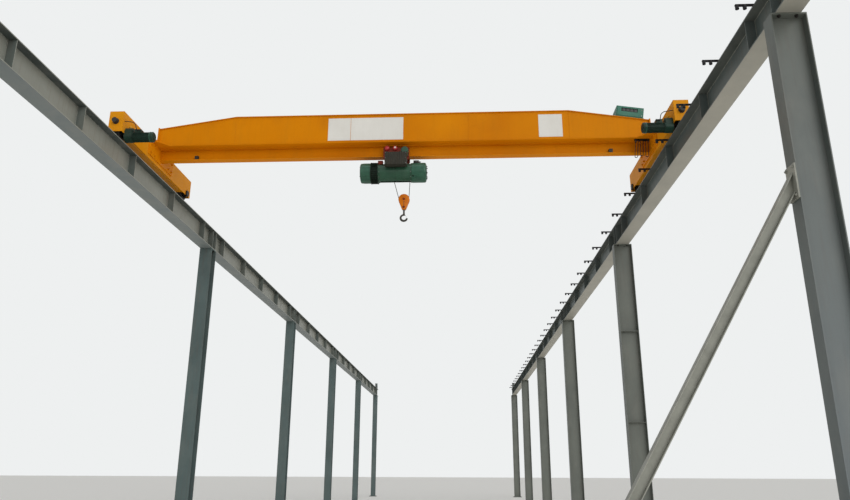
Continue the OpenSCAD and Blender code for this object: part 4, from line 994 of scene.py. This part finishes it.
class CRANE_OT_motor_leads(bpy.types.Operator):
    """Leads from the travel motors to the end trucks"""
    bl_idname = "crane.motor_leads"
    bl_label = "Motor leads"

    def execute(self, context):
        thick = 0.012
        y, z = MOTOR_Y - 0.066, MOTOR_Z + 0.095
        spots = ((0.303, y, z), (0.303, y - 0.020, z), (0.301, y - 0.042, z + 0.022),
                 (0.290, y - 0.050, z + 0.065), (0.245, y - 0.046, z + 0.105), (0.190, y - 0.040, z + 0.118),
                 (0.140, y - 0.036, z + 0.128), (0.1135, y - 0.036, z + 0.131))
        for name, right in (("motor_lead_left", False), ("motor_lead_right", True)):
            path = smooth_path([(mirrored(spot[0], right), *spot[1:]) for spot in spots])
            bm = bmesh.new()
            tube_on(bm, path, thick / 2)
            made = from_shape(name, bm, "cable_sheath", "bridge", smooth=60)
        return {"FINISHED"}


class CRANE_OT_festoon(bpy.types.Operator):
    """The flat cable that hangs in loops at the right end, and its clamps"""
    bl_idname = "crane.festoon"
    bl_label = "Festoon cable"

    def execute(self, context):
        legs = BOX["festoon_cable"]
        y = middle("festoon_cable", Y)
        top, low = legs[1].z - 0.0012, legs[0].z + 0.012
        x0, pitch, bend = legs[0].x + 0.008, 0.040, 0.020
        upper_bend = top - bend - 0.004
        foot = (low, low, low + 0.026, low + 0.026, low + 0.010, low + 0.010)
        flat = []
        for i in range(6):
            down = i % 2 == 0
            head = top if i in (0, 5) else upper_bend
            lower_bend = foot[i] + bend
            run = [(x0 + pitch * i, head + (lower_bend - head) * k / 7, i) for k in range(8)]
            flat += run if down else run[::-1]
            if i < 5:
                x, z, sign = x0 + pitch * i + bend, lower_bend if down else upper_bend, -1 if down else 1
                flat += [(x - bend * cos(pi * k / 9), z + sign * bend * sin(pi * k / 9), i + k / 9)
                         for k in range(1, 9)]

        # The loops swing outwards and apart as they go down.
        path = [(x - (0.036 - 0.004 * i) * (top - z) / (top - low),
                 y + 0.004 * sin(2.1 * i) * (top - z) / (top - low), z) for x, z, i in flat]
        bm = bmesh.new()
        tube_on(bm, path, 0.010, 12, 0.5, side=Vector((0, 1, 0)))
        cable = from_shape("festoon_loops", bm, "cable_sheath", "bridge", ("festoon_cable",), 60)

        clamps, screws = bmesh.new(), []
        for i in (1, 3):
            x = x0 + pitch * (i + 0.5)
            plate_on(clamps, (x - 0.017, y - 0.0135, top - 0.0035),
                     (x + 0.017, y + 0.0135, top + 0.0022), 0.0015)
        for i in (0, 5):
            x = x0 + pitch * i
            plate_on(clamps, (x - 0.009, y - 0.0125, top - 0.030),
                     (x + 0.009, y + 0.0125, top + 0.001), 0.002)
            screws.append(((x, y - 0.0125, top - 0.014), (0, -1, 0), 0.25))
        from_shape("festoon_clamps", clamps, "dark_steel", "bridge")
        bolts("festoon_screws", screws, "bright_steel", "bridge")
        return {"FINISHED"}


class CRANE_OT_cabinet_trim(bpy.types.Operator):
    """A near-black panel of painted shade in the cabinet's recess, and the hinges, latches and glands of the
    electrical cabinet
    """
    bl_idname = "crane.cabinet_trim"
    bl_label = "Cabinet trim"

    def execute(self, context):
        cover, hinges, latches, glands = (bmesh.new() for _ in range(4))
        turned = SLOPE.to_3x3()
        # A near-black panel and four raised pads fill the recess: painted shade for the dark inside it.
        plate_on(cover, (-0.449, -0.1530, 0.120), (-0.184, -0.1485, 0.183), 0.002, SLOPE)
        shade_pad, pitch = 0.052, 0.064
        for k in range(4):
            x = -0.440 + pitch * k
            plate_on(cover, (x, -0.1600, 0.126), (x + shade_pad, -0.1525, 0.177), 0.003, SLOPE)
        from_shape("cabinet_recess_painted_shade", cover, "painted_shade_panel", "bridge")
        for z in (0.062, 0.168):
            turn_on(hinges, SLOPE @ Vector((-0.519, -0.163, z - 0.014)), turned @ Vector((0, 0, 1)),
                    [(0, 0.004), (0.001, 0.005), (0.027, 0.005), (0.028, 0.004)], 16)
            turn_on(latches, SLOPE @ Vector((-0.116, -0.1655, z)), turned @ Vector((0, -1, 0)),
                    [(0, 0.009), (0.003, 0.009), (0.004, 0.008), (0.004, 0.004), (0.007, 0.0035),
                     (0.007, 0)], 24)
        from_shape("cabinet_hinges", hinges, "cabinet_paint", "bridge")
        from_shape("cabinet_latches", latches, "bright_steel", "bridge")
        for y in (-0.09, -0.045, 0.0):
            turn_on(glands, SLOPE @ Vector((-0.0855, y, 0.060)), turned @ Vector((1, 0, 0)),
                    gland(0.014, 0.011, 0.018, 0.024, 0.007), 6)
        from_shape("cabinet_glands", glands, "dark_steel", "bridge")
        return {"FINISHED"}


class CRANE_OT_panels(bpy.types.Operator):
    """The two bare white boards on the girder's near web"""
    bl_idname = "crane.panels"
    bl_label = "White boards"

    def execute(self, context):
        bm = bmesh.new()
        web = BRIDGE_Y - WEB_OUT
        foot, head = GIRDER_FOOT + 0.05, GIRDER_FOOT + 0.46
        for start, end in ((2.87, 4.13), (6.37, 6.76)):
            plate_on(bm, (GIRDER[0].x + start, web - 0.002, foot), (GIRDER[0].x + end, web + 0.001, head),
                     0.0006, steps=1)
        from_shape("white_boards", bm, "white_board", "bridge")
        return {"FINISHED"}


# The hoist

class CRANE_OT_hoist_trim(bpy.types.Operator):
    """Screws of the drum's bands, and the red caps"""
    bl_idname = "crane.hoist_trim"
    bl_label = "Hoist trim"

    def execute(self, context):
        band, band_r = 0.016, 0.1585
        rim = (bolt_circle((DRUM_X0 + band, BRIDGE_Y, DRUM_Z), 1, band_r, 12, 15, 0.35)
               + bolt_circle((DRUM_X1 - band, BRIDGE_Y, DRUM_Z), -1, band_r, 12, 15, 0.35))
        bolts("drum_band_screws", rim, "bright_steel", "hoist")
        plates = BOX["trolley_plates"]
        caps = bmesh.new()
        for along in CAPS_ALONG:
            turn_on(caps, (plates[0].x + along, plates[0].y - 0.0005, CAP_Z), (0, -1, 0),
                    [(0, 0.040), (0.030, 0.040), (0.038, 0.037), (0.044, 0.030), (0.047, 0.018),
                     (0.048, 0)], 40)
        from_shape("red_caps", caps, "red_cap", "hoist")
        return {"FINISHED"}


class CRANE_OT_hoist_castings(bpy.types.Operator):
    """Bolts, covers, fins, boxes and the control box's screws on the hoist"""
    bl_idname = "crane.hoist_castings"
    bl_label = "Hoist castings"

    def execute(self, context):
        self.dress_ends()
        self.fit_boxes()
        self.bolt_trolley()
        self.dress_control_box()
        return {"FINISHED"}

    def dress_ends(self):
        """The bolts and covers on both ends, and the motor's fins."""
        gear_x, motor_x = BOX["hoist_gearbox"][1].x, BOX["hoist_motor"][0].x
        bolts("casting_bolts", bolt_circle((gear_x, BRIDGE_Y, DRUM_Z), 1, 0.100, 8, 22.5, 0.5)
              + bolt_circle((motor_x, BRIDGE_Y, DRUM_Z), -1, 0.115, 4, 45, 0.45), "dark_steel", "hoist")
        hub = bmesh.new()
        for x, s, rim, well in ((gear_x - 0.0005, 1, 0.052, 0.022), (motor_x + 0.0005, -1, 0.075, 0.030)):
            turn_on(hub, (x, BRIDGE_Y, DRUM_Z), (s, 0, 0),
                    [(0, rim), (0.003, rim), (0.005, rim - 0.003), (0.005, well), (0.002, well - 0.003),
                     (0.002, 0)], 40)
        from_shape("casting_covers", hub, "light_green", "hoist")
        fins = bmesh.new()
        count = 14
        for k in range(count):
            turn = Matrix.Translation((0, BRIDGE_Y, DRUM_Z)) @ Matrix.Rotation(2 * pi * k / count, 4, "X")
            plate_on(fins, (motor_x + 0.045, -0.004, 0.160), (BOX["hoist_motor"][1].x - 0.010, 0.004, 0.1685),
                     0.0012, turn, 1)
        from_shape("motor_fins", fins, "light_green", "hoist")

    def fit_boxes(self):
        """The terminal box on the drum housing, and the lift's limit switch with its plunger."""
        term, switch = bmesh.new(), bmesh.new()
        turn_on(switch, (DRUM_X1 + 0.115, BRIDGE_Y - 0.088, DRUM_Z + 0.155), (1, 0, 0),
                [(0, 0.012), (0.012, 0.012), (0.012, 0.008), (0.030, 0.008), (0.032, 0.005)], 24)
        for bm, x, rows in (
                (term, DRUM_X0, (((0.000, -0.130, 0.112), (0.080, -0.055, 0.166), 0.006),
                                 ((-0.003, -0.133, 0.164), (0.083, -0.052, 0.172), 0.003))),
                (switch, DRUM_X1, (((0.023, -0.110, 0.128), (0.113, -0.065, 0.180), 0.005),
                                   ((0.038, -0.118, 0.140), (0.098, -0.109, 0.170), 0.002)))):
            corner = Vector((x, BRIDGE_Y, DRUM_Z))
            for low, high, edge in rows:
                plate_on(bm, corner + Vector(low), corner + Vector(high), edge)
        from_shape("drum_terminal_box", term, "plate_paint", "hoist")
        from_shape("lift_limit_switch", switch, "dark_steel", "hoist")

    def bolt_trolley(self):
        """Nuts on the suspension shafts and on the trolley wheels' axles."""
        nuts = []
        for holder, inset, z, ends, size in (
                ("suspension_shafts", 0.016, BOX["suspension_shafts"][0].z + 0.016, "suspension_shafts", 1.1),
                ("trolley_wheels", 0.055, middle("trolley_wheels", Z), "trolley_plates", 1.0)):
            for x in (BOX[holder][0].x + inset, BOX[holder][1].x - inset):
                nuts += [((x, BOX[ends][i].y, z), (0, side, 0), size) for i, side in ((0, -1), (1, 1))]
        bolts("trolley_nuts", nuts, "dark_steel", "hoist")

    def dress_control_box(self):
        """The lid's screws, the glands under the box, and the white eye in the second cap."""
        low, high = BOX["control_box"]
        lid = [((x, low.y, z), (0, -1, 0), 0.32) for x in (low.x + 0.014, high.x - 0.014)
               for z in (low.z + 0.020, (low.z + high.z) / 2, high.z - 0.020)]
        bolts("control_lid_screws", lid, "bright_steel", "hoist")
        glands, eye = bmesh.new(), bmesh.new()
        for x in (0.060, 0.110, 0.160):
            turn_on(glands, (low.x + x, high.y - 0.050, low.z + 0.0005), (0, 0, -1),
                    gland(0.013, 0.010, 0.014, 0.019, 0.007), 6)
        from_shape("control_glands", glands, "dark_steel", "hoist")
        plates = BOX["trolley_plates"]
        turn_on(eye, (plates[0].x + CAPS_ALONG[1], plates[0].y - 0.048, CAP_Z), (0, -1, 0),
                [(0, 0.017), (0.003, 0.016), (0.004, 0.010), (0.004, 0)], 24)
        from_shape("cap_eye", eye, "white_board", "hoist")


class CRANE_OT_rope(bpy.types.Operator):
    """The two falls of laid rope, and the turns on the drum"""
    bl_idname = "crane.rope"
    bl_label = "Wire rope"

    def execute(self, context):
        rope, groove = 0.0055, 0.078
        top = BOX["rope_falls"][1].z
        height = top - SHEAVE.z
        steps = 40
        lines = []
        for side, lean in ((-1, -0.095), (1, 0.018)):
            foot = SHEAVE.x + side * groove / cos(atan2(lean, height))
            lines.append([(foot + lean * k / steps, BRIDGE_Y, SHEAVE.z + height * k / steps)
                          for k in range(steps + 1)])
        falls = grown("rope_strands", "laid_rope", {"Lay length": settings()[1].rope_lay}, "rope_steel", None,
                      lines=lines, stands_for=("rope_falls",), smooth=60)
        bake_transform(falls, "hoist", "hook_block", start=(SHEAVE.x, BRIDGE_Y, top - 0.004),
                 end=(SHEAVE.x, BRIDGE_Y, SHEAVE.z + 0.010))

        r, pitch, margin, sides = 0.118 + 0.003, 0.013, 0.030, 36
        turns = int((DRUM_X1 - DRUM_X0 - 2 * margin) / pitch)
        coil = [(DRUM_X0 + margin + pitch * (k / sides + 0.5), BRIDGE_Y + r * cos(2 * pi * k / sides),
                 DRUM_Z + r * sin(2 * pi * k / sides)) for k in range(sides * (turns - 1) + 1)]
        bm = bmesh.new()
        tube_on(bm, coil, rope, 6)
        from_shape("rope_on_drum", bm, "rope_steel", "hoist", smooth=70)
        return {"FINISHED"}


# The hook block

def egg(big, small, drop, n=64):
    """Points of the block's outline, each with the point of the spine that it belongs to."""
    lean = atan2(big - small, sqrt(drop * drop - (big - small) ** 2))
    rows = []
    for k in range(n):
        a = -lean + (pi + 2 * lean) * k / (n - 1)
        rows.append(((big * cos(a), big * sin(a)), (0, 0)))
    for k in range(n // 2):
        a = pi + lean + (pi - 2 * lean) * k / (n // 2 - 1)
        rows.append(((small * cos(a), small * sin(a) - drop), (0, -drop)))
    return rows


def shrunk(row, keep):
    """A point of the outline drawn in towards its spine, as a place beside the sheave."""
    p, s = row
    return [SHEAVE[axis] + s[i] + (p[i] - s[i]) * keep for i, axis in ((0, X), (1, Z))]


class CRANE_OT_hook_block(bpy.types.Operator):
    """The crowned covers of the hook block, and the guard round its lower half"""
    bl_idname = "crane.hook_block"
    bl_label = "Hook block"

    def execute(self, context):
        rows = egg(0.091, 0.040, 0.140)
        inner, rim, crown, steps = 0.0265, 0.031, 0.011, 8
        covers = bmesh.new()
        for side in (-1, 1):
            levels = [(0.97, inner)]
            for k in range(steps + 1):
                keep = 1 - (k / steps) ** 1.5 * 0.92
                levels.append((keep, rim + crown * sqrt(max(0, 1 - keep * keep))))
            skin_over(covers, [[(x, BRIDGE_Y + side * out, z) for x, z in (shrunk(row, keep) for row in rows)]
                               for keep, out in levels])
        from_shape("block_covers", covers, "block_paint", "hook_block", ("block_cheeks",), 50)

        lower = [row for row in rows if row[0][1] < 0.004]
        left = sorted((row for row in lower if row[0][0] < 0), key=lambda row: -row[0][1])
        right = sorted((row for row in lower if row[0][0] >= 0), key=lambda row: row[0][1])
        half, thick = 0.027, 0.003
        rings = []
        for row in left + right:
            outer = shrunk(row, 1)
            inside = shrunk(row, 1 - thick / hypot(row[0][0] - row[1][0], row[0][1] - row[1][1]))
            rings.append([(x, BRIDGE_Y + y, z)
                          for (x, z), y in ((outer, -half), (outer, half), (inside, half), (inside, -half))])
        guard = bmesh.new()
        skin_over(guard, rings)
        from_shape("block_guard", guard, "block_paint", "hook_block", ("block_cheeks",), 50)
        return {"FINISHED"}


class CRANE_OT_block_trim(bpy.types.Operator):
    """Pin nuts and washers, near-black strips of painted shade for the covers' slots, the latch spring and
    the thrust washer of the hook block
    """
    bl_idname = "crane.block_trim"
    bl_label = "Hook block trim"

    def execute(self, context):
        nuts, slot_shade_strips, washers = [], bmesh.new(), bmesh.new()
        face, half_slot = 0.0405, 0.0035
        for side in (-1, 1):
            for z in (SHEAVE.z, SWIVEL_Z):
                turn_on(washers, (SHEAVE.x, BRIDGE_Y + side * face, z), (0, side, 0),
                        [(0, 0.024), (0.003, 0.024), (0.0045, 0.0225), (0.0045, 0)], 32)
                nuts.append(((SHEAVE.x, BRIDGE_Y + side * (face + 0.004), z), (0, side, 0), 0.95))
            # A near-black strip on each cover: painted shade where its slot is.
            lo, hi = sorted((BRIDGE_Y + side * face, BRIDGE_Y + side * (face + 0.0023)))
            plate_on(slot_shade_strips, (SHEAVE.x - half_slot, lo, SWIVEL_Z + 0.028),
                     (SHEAVE.x + half_slot, hi, SHEAVE.z - 0.030), 0.0006, steps=1)
        from_shape("pin_washers", washers, "block_paint", "hook_block")
        bolts("pin_nuts", nuts, "plate_paint", "hook_block")
        from_shape("cover_slot_shade_strips", slot_shade_strips, "painted_shade_panel", "hook_block")

        x, z = HOOK_X + 0.0195 - 0.004, HOOK_EYE_Z + 0.0439 + 0.004
        turns, coil_r, wire_r, width, steps = 6, 0.0042, 0.0009, 0.022, 96
        whole = 2 * pi * turns
        coil = [(x + coil_r * cos(a), BRIDGE_Y - width / 2 + width * a / whole, z + coil_r * sin(a))
                for a in (whole * k / steps for k in range(steps + 1))]
        spring, washer = bmesh.new(), bmesh.new()
        tube_on(spring, coil, wire_r, 6)
        from_shape("latch_spring", spring, "bright_steel", "lifting_hook", smooth=70)
        turn_on(washer, (HOOK_X, BRIDGE_Y, SWIVEL_Z - 0.0225), (0, 0, -1),
                [(0, 0.024), (0.004, 0.025), (0.012, 0.025), (0.016, 0.022), (0.016, 0.0165)], 40)
        from_shape("thrust_washer", washer, "bright_steel", "lifting_hook")
        return {"FINISHED"}


class CRANE_OT_hook(bpy.types.Operator):
    """The forged hook and its nut"""
    bl_idname = "crane.hook"
    bl_label = "Forged hook"

    def execute(self, context):
        rough = bpy.data.meshes.new("hook_rough")
        bm = bmesh.new()
        shank_top = SWIVEL_Z + 0.0485
        neck = shank_top - HOOK_EYE_Z
        turn_on(bm, (HOOK_X, BRIDGE_Y, shank_top), (0, 0, -1),
                [(0, 0.0145), (0.060, 0.0148), (neck - 0.080, 0.0150), (neck - 0.062, 0.0175),
                 (neck - 0.048, 0.0195), (neck - 0.040, 0.0150)], 40)
        skin_over(bm, self.bow())
        bmesh.ops.recalc_face_normals(bm, faces=bm.faces)
        bm.to_mesh(rough)
        bm.free()
        host = bpy.data.objects.new("hook_rough", rough)
        context.scene.collection.objects.link(host)

        # The shank and the bow overlap, and are fused and eased into one forging.
        fuse = host.modifiers.new("fuse", "REMESH")
        fuse.mode, fuse.voxel_size = "VOXEL", 0.0022
        ease = host.modifiers.new("ease", "SMOOTH")
        ease.factor, ease.iterations = 0.5, 8
        as_object("forged_hook", frozen("forged_hook", host), "hook_steel", "lifting_hook",
                  ("hook",), 60)
        nut = bmesh.new()
        turn_on(nut, (HOOK_X, BRIDGE_Y, SWIVEL_Z + 0.0225), (0, 0, 1),
                [(0, 0.0205), (0.002, 0.0225), (0.023, 0.0225), (0.026, 0.0195)], 6)
        from_shape("hook_nut", nut, "bright_steel", "lifting_hook")
        return {"FINISHED"}

    def bow(self):
        """Sections of the bow: its back is a circle off the eye's centre, so it is thickest at the saddle."""
        back, off_x, off_z, eye = 0.068, -0.002, -0.004, 0.036
        fat, thin = 0.0185, 0.0075
        start, end = radians(72), radians(358)
        steps, sides = 60, 24
        rings = []
        for k in range(steps + 1):
            t = k / steps
            a = start + (end - start) * t
            outer = off_x * cos(a) + off_z * sin(a) + sqrt(back ** 2 - (off_z * cos(a) - off_x * sin(a)) ** 2)
            half, mid = (outer - eye) / 2, (outer + eye) / 2
            tip = min(1.0, (1 - t) * 14, t * 14 + 0.55)
            shrink = sqrt(max(0.0, 1 - (1 - tip) ** 2)) if tip < 1 else 1.0
            ring = []
            for j in range(sides):
                b = 2 * pi * j / sides
                u = (1 + cos(b)) / 2
                wide = (fat * (1 - u) + thin * u) * (1.0 if t < 0.8 else 1 - (t - 0.8) * 1.2)
                r = mid + half * cos(b) * shrink
                ring.append((HOOK_X + r * cos(a), BRIDGE_Y + wide * sin(b) * shrink * 1.12,
                             HOOK_EYE_Z + r * sin(a)))
            rings.append(ring)
        return rings


# The welds

class CRANE_OT_welds(bpy.types.Operator):
    """Fillet welds of the beams, the girder, the end plates and the column feet"""
    bl_idname = "crane.welds"
    bl_label = "Weld beads"

    def execute(self, context):
        for name, leg, ripple, finish, body, lines in (
                ("beam_welds", 0.006, 0.035, "grey_paint", "runway", self.beam_seams()),
                ("stiffener_welds", 0.005, 0.030, "grey_paint", "runway", self.stiffener_seams()),
                ("foot_welds", 0.008, 0.012, "column_paint", "runway", self.foot_seams()),
                ("girder_welds", 0.005, 0.012, "girder_paint", "bridge", self.girder_seams())):
            grown(name, "weld_bead", {"Leg": leg, "Ripple": ripple}, finish, body, lines=lines)
        return {"FINISHED"}

    def beam_seams(self):
        """Where the beams' webs meet their flanges."""
        y0, y1 = BOX["runway_beams_left"][0].y + 0.01, BOX["runway_beams_left"][1].y - 0.01
        return [[(x + side * 0.004, y0, z), (x + side * 0.004, y1, z)] for x in RAILS for side in (-1, 1)
                for z in (BEAM_FOOT + BEAM_FLANGE, BEAM_TOP - BEAM_FLANGE)]

    def stiffener_seams(self):
        """Both sides of every stiffener: one at each end of a beam, and five between."""
        low, high = BEAM_FOOT + BEAM_FLANGE, BEAM_TOP - BEAM_FLANGE
        seat, first, pitch = 0.090, 0.610, 1.570
        seams = []
        for x in (rail + side * 0.004 for rail in RAILS for side in (-1, 1)):
            for i in range(BAYS):
                ends = [ROWS[i] + (0 if i == 0 else seat), ROWS[i + 1] - (0 if i == BAYS - 1 else seat)]
                for y in ends + [ROWS[i] + first + pitch * k for k in range(5)]:
                    seams += [[(x, y + face, low), (x, y + face, high)] for face in (-0.005, 0.005)]
        return seams

    def foot_seams(self):
        """Round the flanges and webs of both rows' columns, whose webs stand square to each other."""
        z = PLATE_TOP
        seams = []
        for y in ROWS:
            for s in (-1, 1):
                seams += [[(-0.125, y + s * 0.125, z), (0.125, y + s * 0.125, z)],
                          [(s * 0.0045, y - 0.111, z), (s * 0.0045, y + 0.111, z)],
                          [(SPAN + s * 0.175, y - 0.0875, z), (SPAN + s * 0.175, y + 0.0875, z)],
                          [(SPAN - 0.164, y + s * 0.0035, z), (SPAN + 0.164, y + s * 0.0035, z)]]
        return seams

    def girder_seams(self):
        """Along the girder's plates and the track, up its ends, and where its webs are joined."""
        x0, x1 = GIRDER[0].x, GIRDER[1].x
        low, end_top = GIRDER_FOOT + 0.012, WEB_TOP - SLOPE_RISE
        seams = []
        for side in (-1, 1):
            web, flange, track = (BRIDGE_Y + side * out for out in (WEB_OUT, 0.065, 0.004))
            seams.append([(x0, web, low), (x1, web, low)])
            seams.append([(x0, web, end_top), (x0 + SLOPE_RUN, web, WEB_TOP), (x1 - SLOPE_RUN, web, WEB_TOP),
                          (x1, web, end_top)])
            seams.append([(x0, flange, GIRDER_FOOT), (x1, flange, GIRDER_FOOT)])
            for x in (x0, x1):
                seams.append([(x, web, low), (x, web, end_top)])
                seams.append([(x, track, TRACK_FOOT + 0.012), (x, track, GIRDER_FOOT - 0.012)])
            for x in (x0 + SLOPE_RUN, x0 + 3.25, x1 - 2.95, x1 - SLOPE_RUN):
                seams.append([(x, web - side * 0.002, low), (x, web - side * 0.002, WEB_TOP)])
        return seams


# The add-on, with its operators in the order in which they run

CLASSES = (CraneColours, CraneFixings, CraneStudio, CRANE_OT_stage, CRANE_OT_finishes, CRANE_OT_festoon,
           CRANE_OT_motor_leads, CRANE_OT_rope, CRANE_OT_runway_fixings, CRANE_OT_bridge_fixings,
           CRANE_OT_travel_drives, CRANE_OT_cabinet_trim, CRANE_OT_strut_bolts, CRANE_OT_hoist_trim,
           CRANE_OT_hoist_castings, CRANE_OT_hook_block, CRANE_OT_block_trim, CRANE_OT_hook, CRANE_OT_panels,
           CRANE_OT_welds)


class CRANE_PT_panel(bpy.types.Panel):
    """Lists the crane's values and operators"""
    bl_idname = "CRANE_PT_panel"
    bl_label = "Crane"
    bl_space_type = "VIEW_3D"
    bl_region_type = "UI"
    bl_category = "Crane"

    def draw(self, context):
        for group in settings():
            for key in group.__annotations__:
                self.layout.prop(group, key)
        for made in CLASSES:
            if issubclass(made, bpy.types.Operator):
                self.layout.operator(made.bl_idname)


def register():
    """Registers the classes, and hangs the values on the scene."""
    for made in CLASSES + (CRANE_PT_panel,):
        bpy.utils.register_class(made)
    bpy.types.Scene.crane_colours = bpy.props.PointerProperty(type=CraneColours)
    bpy.types.Scene.crane_fixings = bpy.props.PointerProperty(type=CraneFixings)
    bpy.types.Scene.crane_studio = bpy.props.PointerProperty(type=CraneStudio)


def unregister():
    """Takes back what register did."""
    del bpy.types.Scene.crane_studio, bpy.types.Scene.crane_fixings, bpy.types.Scene.crane_colours
    for made in reversed(CLASSES + (CRANE_PT_panel,)):
        bpy.utils.unregister_class(made)


def main():
    """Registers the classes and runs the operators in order."""
    register()
    for make in (bolt_tree, clip_tree, rope_tree, bead_tree, grille_tree):
        made = make()
        TREES[made.name] = made
    for made in CLASSES:
        if issubclass(made, bpy.types.Operator):
            group, call = made.bl_idname.split(".")
            getattr(getattr(bpy.ops, group), call)()


if __name__ == "__main__":
    main()
